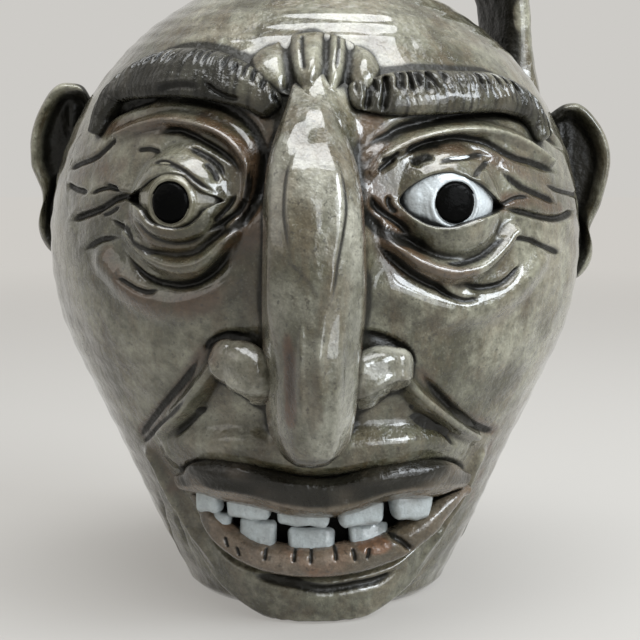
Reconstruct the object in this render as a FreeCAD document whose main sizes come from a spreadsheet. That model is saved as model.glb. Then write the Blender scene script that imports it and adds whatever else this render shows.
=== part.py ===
# Face jug: a wheel-thrown stoneware jug with a face built up on its wall from separate pieces of clay.
# The jug stands on Z = 0 with its axis on Z, and the face looks along -Y. Left and right are as seen from the
# front, so the left side is -X. An azimuth is an angle round the axis, from the front towards +X.
# Each applied piece is cut by the wall that it was pressed on and by the pieces that were there before it, so
# that all of them meet face to face.
import FreeCAD, Part

import math
import os
import re

import Sketcher
from FreeCAD import Vector

doc = FreeCAD.newDocument("face_jug")

# Driving sizes, in millimetres and degrees. A size that ends in _share is a part of the size that it follows.
SIZES = {
    # The thrown jug: a round belly, and a straight wall that leans in to a narrow foot
    "body_radius": 81.0,
    "equator_height": 107.0,
    "foot_radius": 39.5,
    "foot_edge": 2.5,
    "wall": 6.0,
    "floor_thickness": 9.0,
    "bore_radius": 10.5,
    "bore_edge": 1.6,
    "neck_wall": 6.5,
    "neck_fillet": 13.0,
    "jug_height": 226.0,
    "lip_round": 6.0,
    "lip_undercut_angle": 56.0,
    # Rings that the thrower's finger left on the shoulder, as angles above the equator and short of the collar
    "ring_first_angle": 50.0,
    "ring_collar_angle": 2.6,
    "ring_radius": 5.0,
    "ring_depth": 0.5,
    # The pulled strap handle, from the shoulder up and over to the neck. It stands in from the belly's side, and
    # its top lies below the top of the jug
    "handle_azimuth": 112.0,
    "handle_width": 26.0,
    "handle_thickness": 9.5,
    "handle_inset": 15.0,
    "handle_drop": 22.0,
    "handle_bend": 28.0,
    "handle_groove": 1.6,
    "handle_flare": 9.0,
    # The folds over and under each eye. The lower one sets the height of the upper half of the face
    "lower_fold_height": 113.0,
    "lower_fold_arch": 13.5,
    "upper_fold_rise": 8.5,
    "upper_fold_arch": 10.5,
    "fold_inner_span": 16.5,
    "fold_outer_span": 20.5,
    "fold_half_width": 2.7,
    "fold_protrusion": 3.4,
    # Eyes: a white ball, a dark pupil set in it, and two lids over the ball
    "eye_azimuth": 26.5,
    "eye_rise": 6.5,
    "ball_radius": 15.0,
    "ball_protrusion": 6.2,
    "pupil_radius": 5.2,
    "pupil_depth": 1.4,
    "pupil_dome": 0.7,
    "iris_ring": 0.9,
    "lid_thickness": 2.7,
    "eye_opening_half_width": 12.2,
    "eye_opening_half_height": 6.4,
    # Brows, whose ends lie beside and above the middle of the eye
    "brow_inner_span": 16.5,
    "brow_outer_span": 36.5,
    "brow_inner_rise": 27.5,
    "brow_outer_rise": 18.5,
    "brow_arch": 8.5,
    "brow_half_width": 6.4,
    "brow_protrusion": 7.5,
    # Frown crest: a pad of clay between the brows, above their inner ends, with three hollows pressed in it
    "crest_half_angle": 13.0,
    "crest_rise": 10.0,
    "crest_half_width": 8.0,
    "crest_protrusion": 6.0,
    "hollow_azimuth_step": 6.8,
    "hollow_half_width": 2.2,
    "hollow_half_height": 7.0,
    "hollow_depth": 2.6,
    # Nose: a long faceted slab from above the inner ends of the brows to above the mouth, with a rounded wing on
    # each side, between the bottom of the nose and the lower fold
    "nose_top_rise": 5.0,
    "nose_mouth_gap": 16.0,
    "nose_half_width": 11.6,
    "nose_protrusion": 28.0,
    "wing_overlap": 3.6,
    "wing_height_share": 0.516,
    "wing_half_width": 10.6,
    "wing_half_height": 8.2,
    "wing_half_depth": 13.0,
    "wing_seat": 3.0,
    # Smile folds: rolls from beside the wings, under the lower folds, down past the corners of the mouth
    "smile_wing_angle": 4.8,
    "smile_fold_gap": 14.5,
    "smile_corner_angle": 1.5,
    "smile_corner_rise": 12.0,
    "smile_arch": 3.5,
    "smile_half_width": 3.4,
    "smile_protrusion": 4.4,
    # Mouth: two lips, the swell over the upper one, and the dark bed that the teeth are set in
    "lip_half_angle": 49.0,
    "upper_lip_arch": 6.0,
    "upper_lip_half_width": 5.4,
    "upper_lip_protrusion": 11.5,
    "lower_lip_arch": 15.8,
    "lower_lip_half_width": 4.9,
    "lower_lip_protrusion": 12.0,
    "muzzle_corner_angle": 1.0,
    "muzzle_rise": 8.0,
    "muzzle_arch": 12.0,
    "muzzle_half_width": 13.0,
    "muzzle_protrusion": 6.0,
    "bed_corner_angle": 5.0,
    "bed_arch": 5.0,
    "bed_half_width": 9.0,
    "bed_protrusion": 5.0,
    # Teeth, in two rows, each with the azimuth of its middle and the gap between its teeth at the wall
    "tooth_width": 12.4,
    "tooth_height": 7.6,
    "tooth_protrusion": 8.5,
    "tooth_root": 3.0,
    "tooth_rounding": 1.0,
    "upper_tooth_drop": 0.7,
    "upper_tooth_azimuth": -1.7,
    "upper_tooth_gap": 0.8,
    "lower_tooth_azimuth": -1.0,
    "lower_tooth_gap": 1.85,
    "tooth_row_gap": 0.5,
    # Chin, which sets the height of the mouth: the lower lip lies on it
    "chin_half_angle": 36.0,
    "chin_lift": 0.8,
    "chin_overlap": 0.9,
    "chin_arch": 5.0,
    "chin_half_width": 8.2,
    "chin_protrusion": 11.0,
    # Ears: a rolled rim round a thin plate, above the height of the eyes
    "ear_azimuth": 94.0,
    "ear_rise": 7.5,
    "ear_radius": 27.0,
    "ear_projection": 14.0,
    "ear_rim": 4.0,
    "ear_plate": 2.6,
}
RING_COUNT = 5
UPPER_TOOTH_COUNT = 5
LOWER_TOOTH_COUNT = 3


def wall_radius(height):
    """The formula of the thrown wall's radius at a height, on the belly or on the straight wall."""
    belly = f"sqrt(body_radius^2 - ({height} - equator_height)^2)"
    straight = f"(foot_radius + {height} * tan(lean))"
    return f"({height} > tangent_height ? {belly} : {straight})"


# Sizes that follow from the driving ones. The lower wall leans outwards and runs into the belly at the tangent,
# and the neck fillet runs into the shoulder at the collar.
DERIVED = {
    "lean": "(atan2(equator_height; foot_radius)"
            " - acos(body_radius / sqrt(foot_radius^2 + equator_height^2))) / 1deg",
    "tangent_height": "equator_height - body_radius * sin(lean)",
    "tangent_radius": "body_radius * cos(lean)",
    "neck_radius": "bore_radius + neck_wall",
    "collar_reach": "neck_radius + neck_fillet",
    "collar_rise": "sqrt((body_radius + neck_fillet)^2 - collar_reach^2)",
    "collar_share": "body_radius / (body_radius + neck_fillet)",
    "neck_height": "equator_height + collar_rise",
    "inner_radius": "body_radius - wall",
    "inner_top_height": "equator_height + sqrt(inner_radius^2 - bore_radius^2)",
    "lip_radius": "neck_radius - lip_round * cos(lip_undercut_angle)",
    "lip_height": "lip_round * (1 + sin(lip_undercut_angle))",
    "ring_last_angle": "acos(collar_reach * collar_share / body_radius) / 1deg - ring_collar_angle",
    "ring_angle_step": f"(ring_last_angle - ring_first_angle) / ({RING_COUNT} - 1)",
    "handle_reach": "body_radius - handle_inset",
    "handle_top_height": "jug_height - handle_drop",
    "handle_foot_height": "equator_height + sqrt(body_radius^2 - handle_reach^2)",
    "eye_height": "lower_fold_height + eye_rise",
    "upper_fold_height": "eye_height + upper_fold_rise",
    "fold_inner_azimuth": "eye_azimuth - fold_inner_span",
    "fold_outer_azimuth": "eye_azimuth + fold_outer_span",
    "ball_sink": "ball_radius - ball_protrusion",
    "lid_radius": "ball_radius + lid_thickness",
    "opening_round": "(eye_opening_half_width^2 + eye_opening_half_height^2) / (2 * eye_opening_half_height)",
    "pupil_seat": "ball_radius - pupil_depth",
    "brow_inner_azimuth": "eye_azimuth - brow_inner_span",
    "brow_outer_azimuth": "eye_azimuth + brow_outer_span",
    "brow_inner_height": "eye_height + brow_inner_rise",
    "brow_outer_height": "eye_height + brow_outer_rise",
    "crest_height": "brow_inner_height + crest_rise",
    "nose_top_height": "brow_inner_height + nose_top_rise",
    "lip_corner_height": "chin_lift + 2 * chin_half_width - chin_overlap + lower_lip_half_width + lower_lip_arch",
    "nose_bottom_height": "lip_corner_height + nose_mouth_gap",
    "wing_height": "nose_bottom_height"
                   " + wing_height_share * (lower_fold_height - lower_fold_arch - nose_bottom_height)",
    "wing_azimuth": "(nose_half_width + wing_half_width - wing_overlap)"
                    f" / {wall_radius('wing_height')} * 180 / pi",
    "smile_top_azimuth": "wing_azimuth + smile_wing_angle",
    "smile_top_height": "lower_fold_height - lower_fold_arch - smile_fold_gap",
    "smile_bottom_azimuth": "lip_half_angle + smile_corner_angle",
    "smile_bottom_height": "lip_corner_height + smile_corner_rise",
    "muzzle_half_angle": "lip_half_angle + muzzle_corner_angle",
    "muzzle_height": "lip_corner_height + muzzle_rise",
    "bed_half_angle": "lip_half_angle - bed_corner_angle",
    "upper_tooth_height": "lip_corner_height - upper_tooth_drop",
    "upper_tooth_step": f"(tooth_width + upper_tooth_gap) / {wall_radius('upper_tooth_height')} * 180 / pi",
    "lower_tooth_height": "upper_tooth_height - tooth_height - tooth_row_gap",
    "lower_tooth_step": f"(tooth_width + lower_tooth_gap) / {wall_radius('lower_tooth_height')} * 180 / pi",
    "chin_height": "chin_lift + chin_half_width",
    "ear_height": "eye_height + ear_rise",
    "ear_reach": "body_radius + ear_projection",
}

sheet = doc.addObject("Spreadsheet::Sheet", "Sizes")
derived = doc.addObject("App::VarSet", "Derived")
OWNERS = {name: f"Sizes.{name}" for name in SIZES} | {name: f"Derived.{name}" for name in DERIVED}

# How deep a roll reaches into the wall before it is cut by it, as a share of its half width
ROOT_SHARE = 1.25
# Shares of a roll of clay, from its first end to its last: the place along the roll, the rise of its arch
# there, its width and its protrusion
BROW_SHARES = [
    (0.0, 0.0, 0.55, 0.60), (0.12, 0.42, 0.95, 0.92), (0.35, 0.92, 1.0, 1.0), (0.62, 1.0, 1.0, 0.95),
    (0.86, 0.62, 0.9, 0.8), (1.0, 0.0, 0.5, 0.5),
]
FOLD_SHARES = [
    (0.0, 0.0, 0.6, 0.72), (0.25, 0.75, 1.0, 1.0), (0.5, 1.0, 1.0, 1.0), (0.75, 0.75, 1.0, 1.0),
    (1.0, 0.0, 0.5, 0.65),
]
CREST_SHARES = [
    (0.0, 0.0, 0.55, 0.55), (0.2, 0.0, 0.95, 0.95), (0.5, 0.0, 1.0, 1.0), (0.8, 0.0, 0.95, 0.95),
    (1.0, 0.0, 0.55, 0.55),
]
SMILE_SHARES = [
    (0.0, 0.0, 0.6, 0.7), (0.25, 0.75, 1.0, 1.0), (0.5, 1.0, 1.0, 1.0), (0.75, 0.75, 0.9, 0.9),
    (1.0, 0.0, 0.5, 0.55),
]
UPPER_LIP_SHARES = [
    (0.0, 0.0, 0.4, 0.42), (0.14, 0.75, 1.0, 0.74), (0.3, 1.3, 1.38, 0.96), (0.5, 0.85, 0.88, 1.0),
    (0.7, 1.3, 1.38, 0.96), (0.86, 0.75, 1.0, 0.74), (1.0, 0.0, 0.4, 0.42),
]
LOWER_LIP_SHARES = [
    (0.0, 0.0, 0.4, 0.42), (0.1, -0.4, 0.85, 0.66), (0.25, -0.85, 1.0, 0.9), (0.5, -1.0, 1.0, 1.0),
    (0.75, -0.85, 1.0, 0.9), (0.9, -0.4, 0.85, 0.66), (1.0, 0.0, 0.4, 0.42),
]
MUZZLE_SHARES = [
    (0.0, 0.0, 0.45, 0.5), (0.2, 0.65, 0.9, 0.9), (0.5, 1.0, 1.0, 1.0), (0.8, 0.65, 0.9, 0.9),
    (1.0, 0.0, 0.45, 0.5),
]
BED_SHARES = [
    (0.0, 0.0, 0.3, 0.4), (0.2, -0.8, 0.9, 0.95), (0.5, -1.0, 1.0, 1.0), (0.8, -0.8, 0.9, 0.95),
    (1.0, 0.0, 0.3, 0.4),
]
CHIN_SHARES = [
    (0.0, 1.0, 0.55, 0.5), (0.22, 0.45, 0.9, 0.85), (0.5, 0.0, 1.0, 1.0), (0.78, 0.45, 0.9, 0.85),
    (1.0, 1.0, 0.55, 0.5),
]
# Shares of the nose, from its root down: height, width and protrusion
NOSE_SHARES = [
    (1.0, 0.5, 0.08), (0.94, 0.78, 0.25), (0.78, 0.86, 0.48), (0.56, 0.8, 0.58), (0.32, 0.84, 0.68),
    (0.13, 1.0, 0.88), (0.04, 0.96, 1.0), (0.0, 0.7, 0.86),
]
NOSE_RIDGE_SHARE = 0.34
NOSE_BEVEL_SHARE = 0.6
# Shares of the handle at its foot, from the shoulder up: the rise in flares, the width and the thickness
HANDLE_FOOT_SHARES = [(-0.55, 1.2, 1.7), (0.35, 1.12, 1.4), (1.45, 1.03, 1.05)]
# The widening of the handle where it joins the neck
HANDLE_NECK_SHARE = 1.1


def formula(text):
    """Puts the owner's name before each named size in a formula."""
    return re.sub(r"[a-z]\w*", lambda word: OWNERS.get(word[0], word[0]), text)


def bind(item, **formulas):
    """Binds the properties of an item to formulas of the named sizes."""
    for name, text in formulas.items():
        item.setExpression(name, formula(text))
    return item


def add(kind, name, **formulas):
    """Adds an item to the document, with its properties bound to formulas."""
    return bind(doc.addObject(kind, name), **formulas)


def value(text):
    """The number that a formula gives."""
    return float(sheet.evalExpression(formula(text)))


def fill_sizes():
    """Writes the driving sizes into the sheet, and the sizes that follow from them beside it."""
    for row, (name, size) in enumerate(SIZES.items(), start=1):
        sheet.set(f"A{row}", name)
        sheet.set(f"B{row}", str(size))
        sheet.setAlias(f"B{row}", name)
    doc.recompute()
    for name in DERIVED:
        derived.addProperty("App::PropertyFloat", name)
    bind(derived, **DERIVED)
    doc.recompute()


def spot(azimuth, height, seat="0"):
    """The placement of a spot on the wall: X runs sideways, Y up and Z outwards. A seat is a depth below it."""
    return (f"placement(vector(0; 0; {height}); rotation(vector(0; 0; 1); {azimuth}))"
            f" * placement(vector(0; {seat} - {wall_radius(height)}; 0); rotation(vector(1; 0; 0); 90))")


def draw_outline(sketch, corners, rounds):
    """Draws a closed outline through corners, each a pair of formulas. Rounds give the radius of a side that is
    an arc, by the number of its first corner: positive where it bulges outwards, negative where inwards."""
    points = [Vector(value(across), value(up), 0) for across, up in corners]
    ends = []
    for number, start in enumerate(points):
        end = points[(number + 1) % len(points)]
        if number not in rounds:
            sketch.addGeometry(Part.LineSegment(start, end), False)
            ends.append((1, 2))
            continue
        radius = value(rounds[number])
        chord = end - start
        side = Vector(-chord.y, chord.x, 0).normalize() * math.copysign(1, radius)
        centre = (start + end) / 2 + side * math.sqrt(radius ** 2 - chord.Length ** 2 / 4)
        first, last = (start, end) if radius > 0 else (end, start)
        angles = [math.atan2(point.y - centre.y, point.x - centre.x) for point in (first, last)]
        sketch.addGeometry(Part.ArcOfCircle(Part.Circle(centre, Vector(0, 0, 1), abs(radius)), *angles), False)
        ends.append((1, 2) if radius > 0 else (2, 1))
    for number, (first_end, last_end) in enumerate(ends):
        following = (number + 1) % len(ends)
        sketch.addConstraint(Sketcher.Constraint("Coincident", number, last_end, following, ends[following][0]))
        for kind, axis, text, place in zip(
                ("DistanceX", "DistanceY"), (-2, -1), corners[number], (points[number].x, points[number].y)):
            if text == "0":
                sketch.addConstraint(Sketcher.Constraint("PointOnObject", number, first_end, axis))
                continue
            index = sketch.addConstraint(Sketcher.Constraint(kind, -1, 1, number, first_end, place))
            sketch.setExpression(f"Constraints[{index}]", formula(text))
        if number in rounds:
            radius = rounds[number]
            index = sketch.addConstraint(Sketcher.Constraint("Radius", number, abs(value(radius))))
            sketch.setExpression(f"Constraints[{index}]", formula(f"abs({radius})"))


def turned(name, corners, rounds):
    """A solid turned round the axis of the jug, from an outline of radii and heights."""
    outline = doc.addObject("Sketcher::SketchObject", f"{name}_outline")
    outline.Placement = FreeCAD.Placement(Vector(), FreeCAD.Rotation(Vector(1, 0, 0), 90))
    draw_outline(outline, corners, rounds)
    solid = doc.addObject("Part::Revolution", name)
    solid.Source = outline
    solid.Axis = Vector(0, 0, 1)
    solid.Angle = 360
    solid.Solid = True
    return solid


def loft(name, sections):
    """A solid through a row of sections."""
    solid = doc.addObject("Part::Loft", name)
    solid.Sections = sections
    solid.Solid = True
    return solid


def cut(name, base, tools):
    """Cuts each of the tools from a base in turn. The last cut has the name."""
    for number, tool in enumerate(tools, start=1):
        step = doc.addObject("Part::Cut", name if number == len(tools) else f"{name}_step_{number}")
        step.Base = base
        step.Tool = tool
        base = step
    return base


def press(name, clay, *neighbours):
    """A piece of clay as it sits on the jug: cut by the wall, then by the neighbours that were there first."""
    PIECES.append(name)
    return cut(name, clay, [jug_form, *neighbours])


def join(kind, name, base, tool):
    """A fuse or common of two shapes."""
    joined = doc.addObject(f"Part::{kind}", name)
    joined.Base = base
    joined.Tool = tool
    return joined


def clay_roll(name, first, last, arch, half_width, protrusion, shares):
    """A roll of clay laid on the wall from its first spot to its last, through sections that stand square to its
    path. A spot is a pair of formulas: azimuth and height. A section has a round front, two straight sides and a
    back that lies inside the wall."""
    path = []
    for share, rise, *_ in shares:
        azimuth = f"({first[0]} + {share} * ({last[0]} - {first[0]}))"
        height = f"({first[1]} + {share} * ({last[1]} - {first[1]}) + {rise} * {arch})"
        path.append((azimuth, height))
    sections = []
    for number, (azimuth, height) in enumerate(path):
        back = path[max(number - 1, 0)]
        ahead = path[min(number + 1, len(path) - 1)]
        turn = (f"atan2({ahead[1]} - {back[1]};"
                f" {wall_radius(height)} * ({ahead[0]} - {back[0]}) * pi / 180)")
        half = f"{half_width} * {shares[number][2]}"
        front = f"{protrusion} * {shares[number][3]}"
        side = f"max({front} - {half}; 0)"
        round_depth = f"({front} - {side})"
        front_round = f"(({half})^2 + {round_depth}^2) / (2 * {round_depth})"
        root = f"-{half} * {ROOT_SHARE}"
        section = doc.addObject("Sketcher::SketchObject", f"{name}_section_{number + 1}")
        draw_outline(section, [(f"-{half}", root), (half, root), (half, side), ("0", front), (f"-{half}", side)],
                     {2: front_round, 3: front_round})
        bind(section, Placement=f"{spot(azimuth, height)} * placement(vector(0; 0; 0);"
                                f" rotation(vector(0; 0; 1); {turn}) * rotation(vector(1; 1; 1); 120))")
        sections.append(section)
    return loft(name, sections)


def build_jug():
    """The thrown jug: its outer form, which the applied pieces are cut by, and the body with its hollow."""
    form = turned("jug_form", [
        ("0", "0"),
        ("foot_radius - foot_edge", "0"),
        ("foot_radius + foot_edge * tan(lean)", "foot_edge"),
        ("tangent_radius", "tangent_height"),
        ("collar_reach * collar_share", "equator_height + collar_rise * collar_share"),
        ("neck_radius", "neck_height"),
        ("neck_radius", "jug_height - lip_height"),
        ("lip_radius", "jug_height"),
        ("0", "jug_height"),
    ], {3: "body_radius", 4: "-neck_fillet", 6: "lip_round"})
    hollow = turned("jug_hollow", [
        ("0", "floor_thickness"),
        ("foot_radius + floor_thickness * tan(lean) - wall / cos(lean)", "floor_thickness"),
        ("tangent_radius - wall * cos(lean)", "tangent_height + wall * sin(lean)"),
        ("bore_radius", "inner_top_height"),
        ("bore_radius", "jug_height - bore_edge"),
        ("bore_radius + 2 * bore_edge", "jug_height + bore_edge"),
        ("0", "jug_height + bore_edge"),
    ], {2: "inner_radius"})
    rings = []
    for number in range(RING_COUNT):
        angle = f"(ring_first_angle + {number} * ring_angle_step)"
        reach = "(body_radius + ring_radius - ring_depth)"
        rings.append(add(
            "Part::Torus", f"throwing_ring_{number + 1}", Radius1=f"{reach} * cos({angle})",
            Radius2="ring_radius", Placement=f"placement(vector(0; 0; equator_height + {reach} * sin({angle}));"
                                             " rotation(vector(0; 0; 1); 0))"))
    cut("jug_body", form, [hollow] + rings)
    return form


def build_nose():
    """The nose: level sections with a narrow front, two bevels and two sides that run into the wall."""
    sections = []
    for number, (rise, width, protrusion) in enumerate(NOSE_SHARES, start=1):
        height = f"(nose_bottom_height + {rise} * (nose_top_height - nose_bottom_height))"
        half = f"nose_half_width * {width}"
        back = f"{half} - {wall_radius(height)}"
        front = f"-{wall_radius(height)} - nose_protrusion * {protrusion}"
        bevel = f"{front} + {half} * {NOSE_BEVEL_SHARE}"
        section = doc.addObject("Sketcher::SketchObject", f"nose_section_{number}")
        draw_outline(section, [
            (f"-{half}", back), (f"-{half}", bevel), (f"-{half} * {NOSE_RIDGE_SHARE}", front),
            (f"{half} * {NOSE_RIDGE_SHARE}", front), (half, bevel), (half, back),
        ], {})
        section.setExpression("Placement.Base.z", formula(height))
        sections.append(section)
    clay = loft("nose_clay", sections)
    press("nose", clay)
    return clay


def build_eye(side, name):
    """The ball, pupil and lids of the eye on one side, which is -1 for the left and 1 for the right."""
    azimuth = f"{side} * eye_azimuth"
    centre = spot(azimuth, "eye_height", "ball_sink")
    upright = "rotation(vector(0; 0; 1); 0)"
    ball = add("Part::Sphere", f"{name}_ball", Radius="ball_radius", Placement=centre)
    lid = add("Part::Sphere", f"{name}_lid_form", Radius="lid_radius", Placement=centre)
    socket = add("Part::Cylinder", f"{name}_socket", Radius="pupil_radius", Height="2 * pupil_depth + pupil_dome",
                 Placement=f"{centre} * placement(vector(0; 0; pupil_seat); {upright})")
    dome = add("Part::Sphere", f"{name}_pupil_dome", Radius="ball_radius", Placement=
               f"{centre} * placement(vector(0; 0; pupil_dome); {upright})")
    ring = add("Part::Torus", f"{name}_iris_ring", Radius1="pupil_radius + iris_ring", Radius2="iris_ring",
               Placement=f"{centre} * placement(vector(0; 0; sqrt(ball_radius^2 - (pupil_radius + iris_ring)^2));"
                         f" {upright})")
    ringed = join("Fuse", f"{name}_ringed_ball", ball, ring)
    rounds = []
    for number, way in enumerate((1, -1), start=1):
        shift = f"{way} * (opening_round - eye_opening_half_height)"
        rounds.append(add("Part::Cylinder", f"{name}_opening_round_{number}", Radius="opening_round",
                          Height="2 * lid_radius",
                          Placement=f"{centre} * placement(vector(0; {shift}; 0); {upright})"))
    opening = join("Common", f"{name}_opening", *rounds)
    press(f"{name}_eyeball", ringed, socket)
    join("Common", f"{name}_pupil", socket, dome)
    shell = cut(f"{name}_lid_shell", lid, [jug_form, ringed, opening])
    for lid_name, start in (("upper", "0"), ("lower", "-lid_radius")):
        half = add("Part::Box", f"{name}_{lid_name}_half", Length="2 * lid_radius", Width="lid_radius",
                   Height="lid_radius",
                   Placement=f"{centre} * placement(vector(-lid_radius; {start}; 0); {upright})")
        join("Common", f"{name}_{lid_name}_lid", shell, half)
    PIECES.extend(f"{name}_{piece}" for piece in ("pupil", "upper_lid", "lower_lid"))
    return lid


def build_folds(side, name, lid):
    """The folds over and under the eye on one side. It returns the clay of the upper one."""
    clays = []
    for fold, height, arch in (("upper_fold", "upper_fold_height", "upper_fold_arch"),
                               ("lower_fold", "lower_fold_height", "-lower_fold_arch")):
        clay = clay_roll(f"{name}_{fold}_clay", (f"{side} * fold_inner_azimuth", height),
                         (f"{side} * fold_outer_azimuth", height), arch, "fold_half_width", "fold_protrusion",
                         FOLD_SHARES)
        press(f"{name}_{fold}", clay, nose_clay, lid)
        clays.append(clay)
    return clays[0]


def build_crest():
    """The frown crest: a pad between the brows, with three upright hollows pressed in it."""
    clay = clay_roll("frown_crest_clay", ("-crest_half_angle", "crest_height"), ("crest_half_angle", "crest_height"),
                     "0", "crest_half_width", "crest_protrusion", CREST_SHARES)
    hollows = []
    for number, way in enumerate((-1, 0, 1), start=1):
        hollows.append(add("Part::Ellipsoid", f"crest_hollow_{number}", Radius1="hollow_depth",
                           Radius2="hollow_half_width", Radius3="hollow_half_height",
                           Placement=spot(f"{way} * hollow_azimuth_step", "crest_height", "-crest_protrusion")))
    press("frown_crest", clay, nose_clay, *hollows)
    return clay


def build_brow(side, name, upper_fold):
    """The brow on one side, which runs into the frown crest and over the upper fold."""
    clay = clay_roll(f"{name}_brow_clay", (f"{side} * brow_inner_azimuth", "brow_inner_height"),
                     (f"{side} * brow_outer_azimuth", "brow_outer_height"), "brow_arch", "brow_half_width",
                     "brow_protrusion", BROW_SHARES)
    press(f"{name}_brow", clay, nose_clay, crest_clay, upper_fold)


def build_wing(side, name):
    """The wing of the nose on one side, and the smile fold that runs down from it."""
    wing = add("Part::Ellipsoid", f"{name}_wing_clay", Radius1="wing_half_depth", Radius2="wing_half_width",
               Radius3="wing_half_height", Placement=spot(f"{side} * wing_azimuth", "wing_height", "wing_seat"))
    press(f"{name}_nose_wing", wing, nose_clay)
    smile = clay_roll(f"{name}_smile_clay", (f"{side} * smile_top_azimuth", "smile_top_height"),
                      (f"{side} * smile_bottom_azimuth", "smile_bottom_height"), "smile_arch", "smile_half_width",
                      "smile_protrusion", SMILE_SHARES)
    press(f"{name}_smile_fold", smile, wing, *lip_clays)
    return [wing, smile]


def build_lips():
    """The two lips. The lower one is cut by the upper one where they meet at the corners."""
    ends = ("-lip_half_angle", "lip_corner_height"), ("lip_half_angle", "lip_corner_height")
    upper = clay_roll("upper_lip_clay", *ends, "upper_lip_arch", "upper_lip_half_width", "upper_lip_protrusion",
                      UPPER_LIP_SHARES)
    lower = clay_roll("lower_lip_clay", *ends, "lower_lip_arch", "lower_lip_half_width", "lower_lip_protrusion",
                      LOWER_LIP_SHARES)
    press("upper_lip", upper, nose_clay)
    press("lower_lip", lower, upper)
    return [upper, lower]


def build_muzzle(neighbours):
    """The swell of clay over the upper lip."""
    clay = clay_roll("muzzle_clay", ("-muzzle_half_angle", "muzzle_height"), ("muzzle_half_angle", "muzzle_height"),
                     "muzzle_arch", "muzzle_half_width", "muzzle_protrusion", MUZZLE_SHARES)
    press("muzzle", clay, *neighbours)


def build_tooth(name, azimuth, height):
    """A tooth: a block of white clay with a rounded front, set in the wall by its root."""
    body = doc.addObject("PartDesign::Body", f"{name}_body")
    base = next(plane for plane in body.Origin.OriginFeatures if plane.Role == "XY_Plane")
    outline = body.newObject("Sketcher::SketchObject", f"{name}_outline")
    outline.AttachmentSupport = [(base, "")]
    outline.MapMode = "FlatFace"
    half_width, half_height = "tooth_width / 2", "tooth_height / 2"
    draw_outline(outline, [(f"-{half_width}", f"-{half_height}"), (half_width, f"-{half_height}"),
                           (half_width, half_height), (f"-{half_width}", half_height)], {})
    pad = body.newObject("PartDesign::Pad", f"{name}_pad")
    pad.Profile = outline
    bind(pad, Length="tooth_root + tooth_protrusion")
    doc.recompute()
    front = max(range(len(pad.Shape.Faces)), key=lambda index: pad.Shape.Faces[index].CenterOfMass.z)
    rounding = body.newObject("PartDesign::Fillet", f"{name}_rounding")
    rounding.Base = (pad, [f"Face{front + 1}"])
    bind(rounding, Radius="tooth_rounding")
    body.Tip = rounding
    bind(body, Placement=spot(azimuth, height, "tooth_root"))
    press(name, body, *lip_clays)
    return body


def build_mouth():
    """The two rows of teeth and the dark bed between the lips that they are set in."""
    teeth = []
    for row, count in (("upper", UPPER_TOOTH_COUNT), ("lower", LOWER_TOOTH_COUNT)):
        for number in range(count):
            azimuth = f"({row}_tooth_azimuth + ({number} - ({count} - 1) / 2) * {row}_tooth_step)"
            teeth.append(build_tooth(f"{row}_tooth_{number + 1}", azimuth, f"{row}_tooth_height"))
    clay = clay_roll("mouth_bed_clay", ("-bed_half_angle", "lip_corner_height"),
                     ("bed_half_angle", "lip_corner_height"), "bed_arch", "bed_half_width", "bed_protrusion",
                     BED_SHARES)
    rows = doc.addObject("Part::Compound", "teeth")
    rows.Links = teeth
    press("mouth_bed", clay, *lip_clays, rows)


def build_chin():
    """The chin, a thick roll under the lower lip that stops short of the table."""
    clay = clay_roll("chin_clay", ("-chin_half_angle", "chin_height"), ("chin_half_angle", "chin_height"),
                     "chin_arch", "chin_half_width", "chin_protrusion", CHIN_SHARES)
    press("chin", clay, lip_clays[1])


def build_ear(side, name):
    """The ear on one side: a rolled rim with a thin plate inside it, both square to the face."""
    centre = (f"placement(vector(0; 0; ear_height); rotation(vector(0; 0; 1); {side} * ear_azimuth))"
              f" * placement(vector(0; ear_radius - ear_reach; 0); rotation(vector(0; 1; 0); {side} * 90))")
    rim = add("Part::Torus", f"{name}_ear_rim", Radius1="ear_radius - ear_rim", Radius2="ear_rim", Placement=centre)
    plate = add("Part::Cylinder", f"{name}_ear_plate", Radius="ear_radius - ear_rim", Height="ear_plate",
                Placement=centre)
    press(f"{name}_ear", join("Fuse", f"{name}_ear_clay", rim, plate), handle_clay)


def build_handle():
    """The strap handle: it rises from a flared foot on the shoulder and bends over to the neck."""
    arc_centre = "handle_reach - handle_bend", "handle_top_height - handle_bend"
    stations = [("handle_reach", f"handle_foot_height + {rise} * handle_flare", "0", width, thickness)
                for rise, width, thickness in HANDLE_FOOT_SHARES]
    for angle in (0, 30, 60, 90):
        stations.append((f"{arc_centre[0]} + handle_bend * cos({angle})",
                         f"{arc_centre[1]} + handle_bend * sin({angle})", str(angle), 1.0, 1.0))
    stations += [(reach, "handle_top_height", "90", HANDLE_NECK_SHARE, HANDLE_NECK_SHARE)
                 for reach in ("neck_radius", "bore_radius")]
    sections = []
    for number, (reach, height, lean, width, thickness) in enumerate(stations, start=1):
        half = f"handle_thickness / 2 * {thickness}"
        flat = f"(handle_width / 2 * {width} - {half})"
        section = doc.addObject("Sketcher::SketchObject", f"handle_section_{number}")
        draw_outline(section, [
            (f"-{flat}", f"-({half})"), (flat, f"-({half})"), (f"{flat} + {half}", "0"), (flat, half),
            (f"-{flat}", half), (f"-{flat} - {half}", "0"),
        ], {0: f"-({flat}^2 + handle_groove^2) / (2 * handle_groove)", 1: half, 2: half, 4: half, 5: half})
        bind(section, Placement=f"placement(vector(0; 0; {height}); rotation(vector(0; 0; 1); handle_azimuth))"
                                f" * placement(vector(0; -({reach}); 0); rotation(vector(1; 0; 0); -{lean}))")
        sections.append(section)
    clay = loft("handle_clay", sections)
    press("handle", clay)
    return clay


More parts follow.
